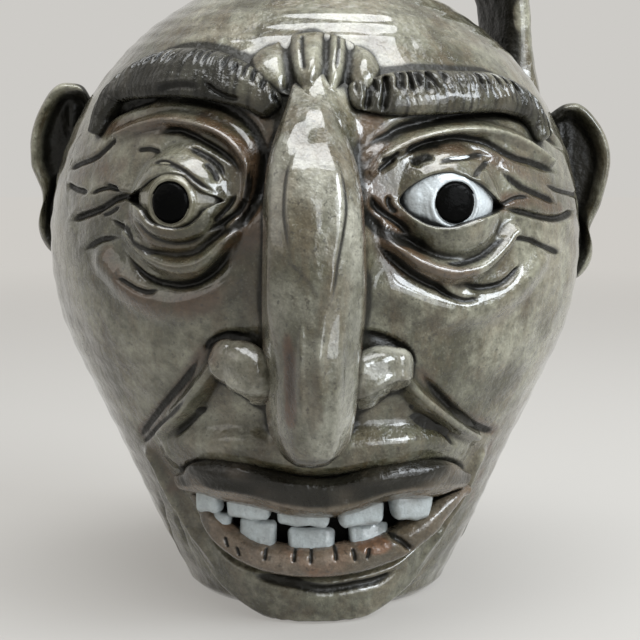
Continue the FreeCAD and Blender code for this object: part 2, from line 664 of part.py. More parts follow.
def write_parts():
    """Checks every object and piece, and writes each piece to a file of its own."""
    doc.recompute()
    failed = [item.Name for item in doc.Objects if {"Invalid", "Error"} & set(item.State)]
    if failed:
        raise RuntimeError(f"Failed objects: {', '.join(failed)}")
    shapes = {}
    for name in PIECES:
        piece = doc.getObject(name)
        piece.Label = name
        if piece.Shape.isNull() or not piece.Shape.isValid():
            raise RuntimeError(f"{name} has no valid shape")
        shapes[name] = piece.Shape
    os.makedirs("parts", exist_ok=True)
    for name, shape in shapes.items():
        shape.exportStep(os.path.join("parts", f"{name}.step"))
        print(f"{name}: {len(shape.Solids)} solid, {shape.Volume / 1000:.2f} cm3")


PIECES = ["jug_body"]
fill_sizes()
jug_form = build_jug()
nose_clay = build_nose()
crest_clay = build_crest()
lip_clays = build_lips()
handle_clay = build_handle()
under_muzzle = [nose_clay, *lip_clays]
for side, name in ((-1, "left"), (1, "right")):
    eye_lid = build_eye(side, name)
    upper_fold = build_folds(side, name, eye_lid)
    build_brow(side, name, upper_fold)
    under_muzzle += build_wing(side, name)
    build_ear(side, name)
build_muzzle(under_muzzle)
build_mouth()
build_chin()
write_parts()
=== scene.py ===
"""A stoneware face jug under ash glaze. Lengths are in millimetres until a piece is finished.

The relief of the face is one field over the thrown wall. Its lines are laid on by their places in the picture, in
pixels of the 640 by 640 frame, and every piece of clay shows its own region of the field.
"""
import math

import bmesh
import bpy
import mathutils
import numpy as np
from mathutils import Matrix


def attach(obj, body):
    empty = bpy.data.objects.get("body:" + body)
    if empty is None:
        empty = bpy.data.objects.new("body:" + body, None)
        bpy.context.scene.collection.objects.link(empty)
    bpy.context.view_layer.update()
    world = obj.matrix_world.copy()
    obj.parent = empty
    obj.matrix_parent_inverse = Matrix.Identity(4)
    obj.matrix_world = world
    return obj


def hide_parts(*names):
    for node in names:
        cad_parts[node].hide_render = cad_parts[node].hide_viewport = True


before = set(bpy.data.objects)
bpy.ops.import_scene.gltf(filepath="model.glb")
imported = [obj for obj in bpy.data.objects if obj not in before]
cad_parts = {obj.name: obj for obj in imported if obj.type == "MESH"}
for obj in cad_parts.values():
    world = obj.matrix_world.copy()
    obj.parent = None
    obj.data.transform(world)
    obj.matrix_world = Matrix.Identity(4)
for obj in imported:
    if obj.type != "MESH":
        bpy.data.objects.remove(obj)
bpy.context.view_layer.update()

MM = 0.001
SIDES = ("left", "right")

# Camera: its place, its tilt down, and the focal length and the jug's axis in pixels of the frame
CAMERA_PLACE = (0.0, -420.0, 125.4)
CAMERA_TILT = math.radians(6)
FRAME_SIZE = 640
FOCAL = 1343
AXIS_PIXEL = 316
SENSOR = 36

# The thrown jug: its belly, the lean of the straight wall under it, its neck and its bore
BELLY_RADIUS = 81.0
EQUATOR = 107.0
FOOT_RADIUS = 39.5
LEAN = math.radians(24.99)
TANGENT_HEIGHT = EQUATOR - BELLY_RADIUS * math.sin(LEAN)
SHOULDER = 190
NECK_RADIUS = 17
BORE_RADIUS = 10.5

# The wall's radius at the middle of the face, and the eyeballs: their places, turns in degrees and sizes
FACE_WALL = 80.0
EYE_CENTRES = {"left": (math.radians(-26.5), 119.5), "right": (math.radians(26.5), 119.5)}
GAZES = {"left": 4.5, "right": -12.0}
GAZE_DOWN = 1.0
BALL_RADIUS = 15.0
BALL_REACH = 71.2
PUPIL_EDGE = 5.35


def stand(name, data):
    """Puts a new object at the origin of the scene."""
    thing = bpy.data.objects.new(name, data)
    bpy.context.scene.collection.objects.link(thing)
    return thing


def add_camera():
    """The camera at the picture's place and angle."""
    data = bpy.data.cameras.new("camera")
    data.sensor_width = SENSOR
    data.lens = SENSOR * FOCAL / FRAME_SIZE
    data.shift_x = (FRAME_SIZE / 2 - AXIS_PIXEL) / FRAME_SIZE
    camera = stand("camera", data)
    camera.location = [length * MM for length in CAMERA_PLACE]
    camera.rotation_euler = (math.pi / 2 - CAMERA_TILT, 0, 0)
    bpy.context.scene.camera = camera


add_camera()


# --- Places on the wall ---

def wall_radius(height):
    """The radius of the thrown wall, on the belly or on the straight wall under it."""
    belly = np.sqrt(np.maximum(BELLY_RADIUS ** 2 - (height - EQUATOR) ** 2, 0))
    straight = FOOT_RADIUS + np.maximum(height, 0) * math.tan(LEAN)
    return np.where(height > TANGENT_HEIGHT, belly, straight)


def wall_scale(line):
    """The wall's radius at the middle height of a line: millimetres for each radian."""
    return float(wall_radius(line[:, 1].mean()))


def lengths(path):
    """The length reached at each point of a path."""
    return np.append(0, np.cumsum(np.hypot(*np.diff(path, axis=0).T)))


def smooth_line(points, step=3.0, closed=False):
    """A smooth line through points, with a new point about every step."""
    points = np.asarray(points, float)
    ring = np.vstack((points[-1:], points, points[:2])) if closed else np.vstack((points[:1], points, points[-1:]))
    line = []
    for before, start, end, after in zip(ring, ring[1:], ring[2:], ring[3:]):
        count = max(2, int(np.hypot(*(end - start)) / step))
        for share in np.linspace(0, 1, count, endpoint=False):
            line.append(0.5 * (2 * start + (end - before) * share
                               + (2 * before - 5 * start + 4 * end - after) * share ** 2
                               + (3 * start - before - 3 * end + after) * share ** 3))
    return np.array(line if closed else line + [points[-1]])


def camera_rays(pixels):
    """How far the camera's rays through pixels go right, forward and up for each length along its axis."""
    across, down = np.asarray(pixels, float).T
    up = (FRAME_SIZE / 2 - down) / FOCAL
    tilt = math.cos(CAMERA_TILT), math.sin(CAMERA_TILT)
    return (across - AXIS_PIXEL) / FOCAL, tilt[0] + up * tilt[1], up * tilt[0] - tilt[1]


def spot(pixels, lift):
    """The azimuths and heights where the camera's rays through these pixels meet the wall, raised by a lift."""
    right, forward, climb = camera_rays(pixels)
    reach = np.arange(300.0, 420.0, 0.4)[:, None]
    x, y, z = reach * right, CAMERA_PLACE[1] + reach * forward, CAMERA_PLACE[2] + reach * climb
    inside = np.hypot(x, y) - wall_radius(z) - lift
    first = np.where((inside <= 0).any(0), (inside <= 0).argmax(0), inside.argmin(0))
    at = first, np.arange(len(first))
    return np.column_stack((np.arctan2(x[at], -y[at]), z[at]))


def in_plane(pixels, depth):
    """Places across and up where the camera's rays meet an upright plane at a depth."""
    right, forward, climb = camera_rays(pixels)
    reach = (depth - CAMERA_PLACE[1]) / forward
    return np.column_stack((reach * right, CAMERA_PLACE[2] + reach * climb))


def trace(points, lift=3.0):
    """A smooth line on the wall through pixels."""
    return spot(smooth_line(points), lift)


def on_wall(points):
    """A smooth line on the wall through azimuths in degrees and heights."""
    line = smooth_line(points, 2.0)
    return np.column_stack((np.radians(line[:, 0]), line[:, 1]))


def along(line, azimuth, height):
    """For each place: the distance to a line, the share of its length there, and the side, left of it positive."""
    scale = wall_scale(line)
    here = np.column_stack((azimuth * scale, height))
    path = line * (scale, 1)
    runs = np.diff(path, axis=0)
    sizes = np.maximum(np.hypot(*runs.T), 1e-6)
    reached = np.append(0, np.cumsum(sizes))
    nearest = np.full(len(here), 1e9)
    share = np.zeros(len(here))
    side = np.ones(len(here))
    for start, run, size, before in zip(path, runs, sizes, reached):
        offset = here - start
        part = np.clip(offset @ run / size ** 2, 0, 1)
        gap = np.hypot(*(offset - part[:, None] * run).T)
        closer = gap < nearest
        nearest[closer] = gap[closer]
        share[closer] = ((before + part * size) / reached[-1])[closer]
        side[closer] = np.sign(run[0] * offset[:, 1] - run[1] * offset[:, 0])[closer]
    return nearest, share, side


def near(line, azimuth, height, margin):
    """Which places lie within a margin of a line's bounds."""
    low, high = line.min(0), line.max(0)
    aside = margin / wall_scale(line)
    return ((azimuth > low[0] - aside) & (azimuth < high[0] + aside)
            & (height > low[1] - margin) & (height < high[1] + margin))


def depth_inside(outline, azimuth, height):
    """How far inside a closed outline each place lies, negative outside."""
    closed = np.vstack((outline, outline[:1]))
    gap = along(closed, azimuth, height)[0]
    inside = np.zeros(len(azimuth), bool)
    for (x0, y0), (x1, y1) in zip(closed, closed[1:]):
        crosses = (y0 > height) != (y1 > height)
        inside ^= crosses & (azimuth < (x1 - x0) * (height - y0) / (y1 - y0 + 1e-12) + x0)
    return np.where(inside, gap, -gap)


def ease(share):
    """A smooth step from 0 to 1."""
    share = np.clip(share, 0, 1)
    return share * share * (3 - 2 * share)


def power(values, sharpness):
    """A power that keeps the sign."""
    return np.sign(values) * np.abs(values) ** sharpness


def at_share(share, values):
    """Reads evenly spaced values at shares of the way."""
    return np.interp(share, np.linspace(0, 1, len(values)), values)


def soft_table(places, values, soft, stops=None):
    """Reads values at stops, or evenly spaced, with the corners rounded."""
    stops = np.linspace(0, 1, len(values)) if stops is None else stops
    return sum(np.interp(places + soft * shift, stops, values) for shift in (-1, -0.5, 0, 0.5, 1)) / 5


def merge(first, second, blend):
    """The higher of two surfaces, with a fillet where they meet."""
    overlap = np.maximum(blend - np.abs(first - second), 0) / blend
    return np.maximum(first, second) + overlap ** 2 * blend / 4


def between(corners, across, up):
    """Reads four corners, two low and two high, at shares across and up."""
    low, high = (left * (1 - across) + right * across for left, right in corners)
    return low * (1 - up) + high * up


def noise(x, y, scale, seed):
    """Smooth noise from -1 to 1 over two lengths, at a scale."""
    shuffle = np.random.default_rng(seed).uniform(-1, 1, (64, 64))
    x, y = x / scale, y / scale
    column, row = np.floor(x).astype(int), np.floor(y).astype(int)
    corners = [[shuffle[(row + j) % 64, (column + i) % 64] for i in (0, 1)] for j in (0, 1)]
    return between(corners, ease(x - column), ease(y - row))


def over_ball(centre, azimuth, height, radius=BALL_RADIUS):
    """The distance from an eyeball's middle, and how far a ball of a radius stands out of the wall there."""
    gap = np.hypot((azimuth - centre[0]) * FACE_WALL, height - centre[1])
    return gap, np.sqrt(np.maximum(radius ** 2 - gap ** 2, 0)) + BALL_REACH - FACE_WALL


# --- The relief ---

class Roll:
    """A swell of clay along a line, with half widths and rises along it, and a fillet to what it lies on."""

    def __init__(self, line, half, rise, blend=3.0, flat=0.0):
        self.line, self.half, self.rise, self.blend, self.flat = line, half, rise, blend, flat

    def lay(self, azimuth, height, out):
        """Lays the swell on a surface."""
        chosen = near(self.line, azimuth, height, max(self.half) + 1)
        gap, share, _ = along(self.line, azimuth[chosen], height[chosen])
        across = np.clip((gap / at_share(share, self.half) - self.flat) / (1 - self.flat), 0, 1)
        swell = (at_share(share, self.rise) + self.blend) * (1 - across ** 2) ** 2 - self.blend
        out[chosen] = merge(out[chosen], swell, self.blend)


class Line:
    """A line pressed in the clay, or raised where its depth is negative: its depth and half width, a ledge that rises
    on its left side, or its right side where the ledge is negative, and fades over a width, how much glaze pools and
    shade is painted dark in it, and the share of its length over which its ends taper."""

    def __init__(self, line, depth, width, ledge=0.0, fade=4.0, pool=1.0, ends=0.22):
        self.line, self.depth, self.width, self.ledge = line, depth, width, ledge
        self.fade, self.pool, self.ends = fade, pool, ends

    def press(self, azimuth, height, out, pools):
        """Presses the line into a surface and marks where glaze pools and shade is painted dark in it."""
        chosen = near(self.line, azimuth, height, max(self.width * 3, self.fade * 3 if self.ledge else 0))
        gap, share, side = along(self.line, azimuth[chosen], height[chosen])
        ends = ease(np.minimum(share, 1 - share) / self.ends + 0.03)
        groove = np.exp(-(gap / (self.width * (0.35 + 0.65 * ends))) ** 2) * ends
        change = -self.depth * groove
        if self.ledge:
            signed = gap * side * math.copysign(1, self.ledge)
            rise = 1 / (1 + np.exp(-np.clip(signed / (self.width * 0.35), -30, 30)))
            change += 1.7 * abs(self.ledge) * rise * np.exp(-np.maximum(signed, 0) / self.fade) * ends
        out[chosen] += change
        pools[chosen] = np.maximum(pools[chosen], self.pool * groove ** 1.6)


def press(lines, azimuth, height, out):
    """Presses lines into a surface, and gives where glaze pools and shade is painted dark in them."""
    pools = np.zeros(len(azimuth))
    for line in lines:
        line.press(azimuth, height, out, pools)
    return pools


def lifted(*rows):
    """Lines through pixels on the wall, from rows of a lift, points and a line's numbers."""
    return [Line(trace(points, lift), *numbers) for lift, points, *numbers in rows]


# Folds, swells and skirts: a lift and pixels, or azimuths and heights, then half widths, rises, fillet and flat share
FOLD = (3.8, 4.4, 4.2, 3.4)
JAW = (4.5, 5.0, 5.0, 4.0)
CHEEK = (8.0, 9.0, 9.0, 8.0)
ROLLS = [Roll(trace(points, lift), *numbers) for lift, points, *numbers in (
    # Folds over the eyes
    (3, [(112, 134), (135, 125), (165, 119), (195, 123), (220, 133), (238, 150), (247, 172), (245, 198)],
     (3.4, 3.4, 3.2, 3.0, 2.6), (2.6, 3.2, 3.2, 3.0, 2.2)),
    (3, [(372, 172), (388, 155), (410, 142), (440, 132), (470, 128), (500, 131), (530, 142), (556, 160)],
     (2.6, 3.0, 3.3, 3.4, 3.4), (2.2, 3.0, 3.4, 3.2, 2.4)),
    # Bags under the eyes, and the cheeks
    (5, [(118, 232), (135, 248), (155, 262), (178, 267), (200, 262), (218, 246), (232, 224)],
     (4.5, 5.5, 6.0, 5.5, 4.0), (3.0, 4.6, 5.4, 4.8, 2.6), 4.0),
    (5, [(388, 232), (405, 250), (428, 265), (455, 272), (482, 268), (505, 252), (524, 232)],
     (4.0, 5.5, 6.0, 5.5, 4.5), (2.6, 4.8, 5.6, 4.8, 3.0), 4.0),
    (3, [(95, 262), (125, 292), (165, 308), (205, 302), (232, 280)], CHEEK, (1.6, 2.6, 2.6, 1.6)),
    (3, [(392, 290), (430, 306), (470, 312), (515, 296), (548, 262)], CHEEK, (1.6, 2.8, 2.8, 1.6)),
    # Skirts where the nose and the frown are blended to the wall
    (6, [(318, 110), (320, 180), (318, 260), (312, 340), (308, 430)], (13.0, 17.0, 19.0, 17.0), (4.0, 7.5, 9.0, 7.0),
     4.0, 0.35),
    (6, [(315, 70), (316, 105), (318, 150), (318, 190)], (9.0, 11.0, 11.5, 11.0), (4.0, 6.0, 6.0, 3.0), 4.0),
    # Folds that run down from the nose past the mouth
    (5, [(212, 362), (200, 382), (184, 402), (166, 420), (150, 436)], FOLD, (3.4, 4.6, 4.2, 2.0)),
    (5, [(408, 378), (424, 398), (444, 415), (466, 430), (488, 440)], FOLD, (3.4, 4.8, 4.6, 2.2)),
)] + [Roll(on_wall(points), *numbers) for points, *numbers in (
    # The muzzle over the upper lip, the swell under the lower lip, the chin, and the corners of the jaw
    ([(-39, 49), (-27, 51.5), (-13, 52.5), (0, 51.5), (13, 52.5), (27, 52), (39, 49)], (8.0, 12.0, 12.5, 12.0, 8.0),
     (1.4, 6.4, 8.0, 7.2, 1.6), 5.0, 0.15),
    ([(-33, 28), (-22, 19), (-8, 14.5), (8, 14.5), (22, 18), (33, 27)], (5.0, 6.5, 7.5, 6.5, 5.0),
     (2.5, 4.0, 4.5, 4.0, 2.5), 4.0),
    ([(-42, 20), (-30, 12), (-15, 7.5), (0, 6), (15, 7.5), (30, 12.5), (42, 20)],
     (6.0, 9.0, 11.5, 12.0, 11.5, 9.0, 6.0), (1.6, 6.0, 10.0, 11.5, 9.6, 6.0, 1.6), 4.0, 0.5),
    ([(-50, 46), (-47, 34), (-42, 22), (-34, 12)], JAW, (2.0, 3.6, 3.4, 1.6), 4.0),
    ([(50, 46), (48, 34), (43, 22), (35, 12)], JAW, (1.6, 3.0, 3.0, 1.6), 4.0),
)]
LEFT_FOLD, RIGHT_FOLD, MUZZLE, _, CHIN = ROLLS[8:13]


def forms(azimuth, height):
    """How far the rolls of the face and the lids over the eyeballs stand out of the wall."""
    arc = azimuth * BELLY_RADIUS
    out = 0.5 * noise(arc, height, 23.0, 3) + 0.18 * noise(arc, height, 7.0, 4)
    for roll in ROLLS:
        roll.lay(azimuth, height, out)
    for centre in EYE_CENTRES.values():
        gap, cap = over_ball(centre, azimuth, height, BALL_RADIUS + 2.2)
        out = merge(out, np.where(gap < 17, cap, -9.0), 2.5)
    return out


def traced(points, closed=False):
    """A smooth line through pixels, settled on the forms of the face."""
    pixels = smooth_line(points, closed=closed)
    line = spot(pixels, 3.0)
    for _ in range(4):
        line = spot(pixels, forms(*line.T))
    return line


FACE_LINES = [Line(traced(points), *numbers) for points, *numbers in (
    # Left eye: the crease under the brow, folds, lid, outer corner and bag
    ([(98, 124), (110, 117), (122, 110), (134, 105), (148, 101), (162, 99)], 2.2, 1.2),
    ([(162, 101), (185, 99), (205, 101), (222, 106), (238, 115), (250, 125), (258, 138), (263, 153), (264, 172),
      (260, 190), (254, 205), (246, 217), (234, 227), (220, 235), (207, 243), (195, 249)], 2.5, 1.6, 0.6),
    ([(155, 135), (175, 130), (190, 134), (205, 141), (220, 150), (235, 163), (240, 178)], 1.7, 0.9, 0.8, 2.5),
    ([(188, 147), (200, 153), (212, 160), (220, 168), (226, 180)], 1.3, 0.8, 0.4),
    ([(203, 162), (213, 172), (219, 184)], 1.0, 0.6),
    ([(150, 164), (165, 162), (175, 166), (185, 172), (195, 180), (205, 187), (218, 194)], 1.1, 0.7, 0.6, 2.0),
    ([(136, 151), (150, 149), (162, 153)], 0.9, 0.7, 0.4),
    ([(68, 171), (80, 164), (95, 158), (105, 150), (115, 140), (121, 134)], 1.3, 0.8, 0.5),
    ([(66, 184), (78, 190), (90, 192)], 1.5, 1.0, 0.4),
    ([(90, 195), (100, 190), (110, 188), (120, 191), (124, 196)], 1.0, 0.6, 0.3),
    ([(107, 184), (121, 189)], 0.9, 0.6),
    ([(133, 194), (125, 196), (118, 198), (110, 203), (102, 208), (92, 212), (80, 216), (68, 222)], 1.9, 1.1, -0.6),
    ([(101, 216), (112, 212), (122, 205)], 0.8, 0.6, 0.3),
    ([(78, 253), (90, 246), (100, 240), (110, 238), (124, 237)], 1.2, 0.9, 0.5, 4.0, 1.0, 0.4),
    ([(108, 217), (125, 228), (133, 242), (142, 248), (152, 252), (170, 253)], 1.1, 0.8, 0.5),
    ([(122, 247), (130, 258), (137, 266), (147, 275), (158, 281), (171, 284), (182, 285), (196, 282), (208, 275),
      (218, 265), (226, 254), (232, 244), (237, 236)], 1.8, 1.1, 0.9, 3.0),
    ([(113, 278), (122, 280), (130, 285), (140, 290), (150, 292), (162, 287)], 1.1, 0.8, 0.5),
    ([(250, 162), (247, 190), (243, 203), (236, 213), (226, 220), (214, 227), (203, 234)], 1.5, 0.9, -0.4),
    ([(238, 193), (229, 206), (222, 213), (211, 225)], 1.2, 0.7),
    ([(133, 217), (143, 228), (155, 238), (172, 243), (188, 242), (200, 237), (212, 229)], 0.8, 0.9, 0.0, 3.0, 0.6),
    ([(284, 126), (276, 142), (270, 160), (265, 182), (260, 208)], 1.8, 2.2, 0.0, 4.0, 0.6),
    # Right eye
    ([(350, 172), (358, 158), (365, 149), (375, 141), (388, 135), (400, 128), (415, 124), (430, 121), (445, 117),
      (460, 115), (480, 113), (497, 112), (512, 113), (525, 118), (537, 127), (548, 136), (557, 144), (566, 152)],
     2.4, 1.5, 0.6),
    ([(392, 163), (405, 155), (415, 148), (425, 142), (440, 139), (455, 137), (470, 139), (485, 142), (495, 147),
      (505, 153), (515, 158), (530, 162), (545, 168), (562, 176)], 1.7, 1.0, 0.9, 2.5),
    ([(378, 161), (390, 158), (402, 150)], 1.2, 0.8, 0.3),
    ([(376, 171), (385, 165), (397, 157)], 1.2, 0.8, 0.3),
    ([(403, 151), (418, 146), (442, 142)], 1.0, 1.3),
    ([(410, 166), (420, 160), (435, 156)], 1.0, 1.1),
    ([(432, 165), (450, 160), (460, 159), (470, 157), (480, 155), (490, 157)], 1.0, 0.7, -0.5, 2.0),
    ([(491, 159), (480, 168), (474, 176), (467, 173)], 1.0, 0.7, 0.5, 2.0),
    ([(496, 168), (507, 177), (518, 186), (529, 191), (545, 198), (558, 206)], 1.3, 0.8, 1.0, 2.5),
    ([(538, 183), (550, 187), (560, 191), (577, 195)], 1.1, 0.7, 0.3),
    ([(498, 207), (510, 200), (520, 197), (532, 198)], 0.8, 0.7, 0.2),
    ([(501, 207), (515, 211), (525, 213), (540, 217), (555, 219), (566, 216), (576, 210)], 1.9, 1.1, -0.8, 3.0),
    ([(512, 236), (520, 238), (530, 240), (540, 245), (552, 250), (562, 256)], 1.2, 0.8, 0.8, 2.0),
    ([(360, 196), (362, 210), (370, 220), (380, 229), (390, 235), (400, 240), (412, 243), (425, 250), (437, 258)],
     2.6, 1.9, -0.5),
    ([(369, 192), (374, 204), (384, 213), (395, 220), (405, 228), (414, 237)], 2.0, 1.1, 0.3),
    ([(389, 194), (388, 202), (392, 209), (399, 213)], 1.2, 0.8, 0.3),
    ([(375, 243), (388, 254), (398, 262), (408, 270), (418, 277), (428, 283), (437, 287), (450, 296), (462, 304)],
     1.6, 1.0, 0.8, 3.0),
    ([(438, 262), (450, 264), (460, 264), (472, 260), (480, 257), (488, 251), (495, 245), (502, 240), (512, 234)],
     1.1, 0.7, 0.6, 2.5),
    ([(462, 282), (470, 286), (480, 287), (490, 286), (500, 283), (508, 277), (515, 270), (524, 260)], 1.8, 1.0, 1.2,
     2.5),
    ([(433, 286), (450, 295), (465, 300), (482, 297)], 1.0, 0.8, 0.6),
    ([(362, 132), (358, 150), (358, 172), (361, 198)], 1.5, 1.6, 0.0, 4.0, 0.5),
    # Cheeks, past the wings of the nose to the mouth
    ([(252, 339), (240, 335), (228, 334), (216, 338), (208, 344), (203, 354)], 1.5, 1.0, -0.4, 3.0),
    ([(356, 333), (370, 334), (385, 338), (398, 345), (408, 354), (417, 366)], 1.6, 1.1, 0.4, 3.0),
    ([(205, 346), (190, 373), (165, 403), (145, 429), (136, 441)], 1.3, 1.3, 0.5),
    ([(192, 393), (175, 410), (160, 425), (148, 438), (138, 444)], 1.4, 1.0, 0.4),
    ([(212, 403), (195, 418), (185, 428), (173, 439)], 0.7, 0.6, 0.0, 4.0, 0.5),
    ([(416, 368), (437, 392), (455, 410), (475, 425), (499, 433)], 1.3, 1.2, 0.5),
    ([(403, 417), (420, 417), (432, 424), (445, 435), (457, 449)], 0.9, 0.7, 0.0, 4.0, 0.7),
    # The jaw's upright folds and the groove under the lip
    ([(158, 488), (166, 518), (178, 548), (194, 575)], 1.2, 1.2, 0.3, 4.0, 0.6),
    ([(175, 508), (181, 528), (190, 548)], 0.9, 0.9, 0.2, 4.0, 0.5),
    ([(477, 508), (472, 524), (464, 540)], 1.0, 1.0, 0.3),
    ([(240, 572), (270, 581), (293, 585), (310, 589), (330, 590), (355, 586), (380, 580), (405, 566)], 2.6, 1.6, 0.0,
     4.0, 1.2),
)]

# Brown places, where the glaze is thin: pixels along a line, a half width and a strength
STAINS = [(traced(points), width, strength) for points, width, strength in (
    ([(262, 110), (262, 170), (256, 220), (238, 250)], 6.0, 0.9),
    ([(372, 120), (376, 170), (385, 215), (410, 262)], 6.0, 0.9),
    ([(395, 250), (430, 272), (470, 278)], 3.5, 0.7),
    ([(104, 258), (125, 290), (160, 308), (200, 302), (232, 285)], 4.5, 0.75),
    ([(205, 122), (232, 140), (246, 165)], 5.0, 0.8),
    ([(84, 150), (105, 170), (125, 165)], 4.0, 0.5),
    ([(110, 128), (170, 124), (225, 135), (245, 165)], 3.5, 0.6),
    ([(400, 150), (440, 146), (500, 160), (560, 195)], 4.0, 0.6),
    ([(75, 175), (100, 165), (118, 205), (90, 215)], 5.0, 0.6),
    ([(505, 203), (530, 200), (560, 208)], 3.0, 0.9),
    ([(130, 215), (150, 240), (185, 250), (225, 235)], 3.0, 0.5),
    ([(206, 350), (190, 376), (165, 406), (142, 434)], 2.4, 0.9),
    ([(420, 372), (440, 395), (458, 412), (495, 430)], 2.4, 0.7),
    ([(150, 440), (165, 462), (170, 490)], 3.0, 0.7),
    ([(490, 445), (482, 470), (470, 500)], 3.0, 0.6),
)]


def surface(azimuth, height):
    """The face on the wall: how far it stands out, where glaze pools and shade is painted dark in its lines, and how
    brown it is.
    """
    out = forms(azimuth, height)
    pools = press(FACE_LINES, azimuth, height, out)
    brown = np.zeros(len(azimuth))
    for line, width, strength in STAINS:
        chosen = near(line, azimuth, height, width * 2.5)
        gap = along(line, azimuth[chosen], height[chosen])[0]
        brown[chosen] = np.maximum(brown[chosen], strength * np.exp(-(gap / width) ** 2))
    return out, {"line": pools, "brown": brown}


def in_space(azimuth, height, out):
    """Places in millimetres for azimuths, heights and distances out of the wall."""
    reach = wall_radius(height) + out
    return np.column_stack((reach * np.sin(azimuth), -reach * np.cos(azimuth), height))


# --- Pieces of clay ---

# How deep a piece's edge sinks into the wall, over how far, and how far a strip reaches past its roll
SUNK = 1.6
SUNK_OVER = 4.2
MARGIN = 4.0


class Strip:
    """A strip of the wall along a line, with half widths along it and round ends."""

    def __init__(self, line, half, margin=0.0):
        self.line, self.half, self.margin, self.scale = line, half, margin, wall_scale(line)
        path = line * (self.scale, 1)
        tips = []
        for tip, inside, width in ((0, 3, half[0]), (-1, -4, half[-1])):
            out = path[tip] - path[inside]
            tips.append(path[tip] + out / np.hypot(*out) * (width + margin))
        self.inner = np.hypot(*np.diff(path, axis=0).T).sum()
        self.path = np.vstack((tips[0], path, tips[1]))
        self.reached = lengths(self.path)

    def lay(self, u, across):
        """Azimuth, height, share of the line, and the height of the round end, for shares along and across."""
        reach = u * self.reached[-1]
        at, ahead, behind = (np.array([np.interp(reach + shift, self.reached, self.path[:, axis]) for axis in (0, 1)])
                             for shift in (0, 1.5, -1.5))
        run = ahead - behind
        run /= np.hypot(*run)
        start, end = self.half[0] + self.margin, self.half[-1] + self.margin
        share = np.clip((reach - start) / self.inner, 0, 1)
        beyond = np.clip(np.maximum((start - reach) / start, (reach - self.reached[-1] + end) / end), 0, 1)
        cap = np.sqrt(1 - beyond ** 2)
        half = (soft_table(share, self.half, 0.06) + self.margin) * cap
        return (at[0] - run[1] * half * across) / self.scale, at[1] + run[0] * half * across, share, cap

    def depth(self, azimuth, height):
        """How far inside the strip each place lies."""
        gap, share, _ = along(self.line, azimuth, height)
        return at_share(share, self.half) - gap


def finish_piece(name, clay):
    """Makes the piece from its bmesh, in metres."""
    bmesh.ops.remove_doubles(clay, verts=clay.verts[:], dist=0.004)
    bmesh.ops.recalc_face_normals(clay, faces=clay.faces[:])
    bmesh.ops.scale(clay, vec=(MM, MM, MM), verts=clay.verts[:])
    for face in clay.faces:
        face.smooth = True
    mesh = bpy.data.meshes.new(name)
    clay.to_mesh(mesh)
    clay.free()
    return stand(name, mesh)


def set_mark(mesh, name, values):
    """Keeps a value for each vertex."""
    mesh.attributes.new(name, "FLOAT", "POINT").data.foreach_set("value", values.astype(np.float32))


def get_points(mesh):
    """The places of a mesh's vertices."""
    flat = np.zeros(len(mesh.vertices) * 3)
    mesh.vertices.foreach_get("co", flat)
    return flat.reshape(-1, 3)


def skin(name, columns, rows, place):
    """A closed skin from a grid: place gives points and marks for the grid's two shares, and seams join."""
    clay = bmesh.new()
    bmesh.ops.create_grid(clay, x_segments=columns, y_segments=rows, size=0.5)
    mesh = bpy.data.meshes.new(name)
    clay.to_mesh(mesh)
    clay.clear()
    corners = get_points(mesh)
    points, marks = place(corners[:, 0] + 0.5, corners[:, 1] + 0.5)
    mesh.vertices.foreach_set("co", points.ravel())
    for mark, values in marks.items():
        set_mark(mesh, mark, values)
    clay.from_mesh(mesh)
    bpy.data.meshes.remove(mesh)
    return finish_piece(name, clay)


def front_share(v, front=0.9):
    """Turns the share round a piece into an angle, with most of the rows on its front."""
    return np.interp(v, (0, front, 1), (0, math.pi, 2 * math.pi))


def roll_piece(name, strip, rise, columns, rows, waist=0.3, square=0.8, detail=None, lean=0.0):
    """A roll of clay on the wall: its section stands out of a waist, leans up or down, and detail presses its front."""
    def place(u, v):
        angle = front_share(v)
        u = np.interp(u, (0, 0.06, 0.94, 1), (0, 0.035, 0.965, 1))
        azimuth, height, share, cap = strip.lay(u, power(np.cos(angle), square))
        top = soft_table(share, rise, 0.05) * (0.25 + 0.75 * cap)
        top = top * (1 + lean * np.cos(angle))
        up = power(np.sin(angle), square)
        back = -2.5
        out = np.where(up > 0, top * (waist + (1 - waist) * up), top * waist + (top * waist - back) * up)
        out = out * (0.2 + 0.8 * cap) + np.clip(forms(azimuth, height), -1, 3) * 0.4 - (1 - cap) * 1.5
        marks = {}
        if detail:
            change, marks = detail(azimuth, height, np.cos(angle))
            out = out + change * np.clip(up * 2, 0, 1)
        return in_space(azimuth, height, out), marks
    return skin(name, columns, rows, place)


def field_piece(name, strip, columns, rows):
    """A piece that shows the face's surface inside its strip and sinks into the wall outside it."""
    def place(u, v):
        angle = front_share(v, 0.94)
        azimuth, height, _, _ = strip.lay(u, np.interp(angle, (0, math.pi, 2 * math.pi), (1, -1, 1)))
        out, marks = surface(azimuth, height)
        out = out - SUNK * ease(-strip.depth(azimuth, height) / SUNK_OVER)
        foot = np.maximum(0.7 - height, 0)
        behind = np.sin(np.maximum(angle - math.pi, 0)) * 3.0
        return in_space(azimuth, height + foot, out - foot * 2.5 - behind), marks
    return skin(name, columns, rows, place)


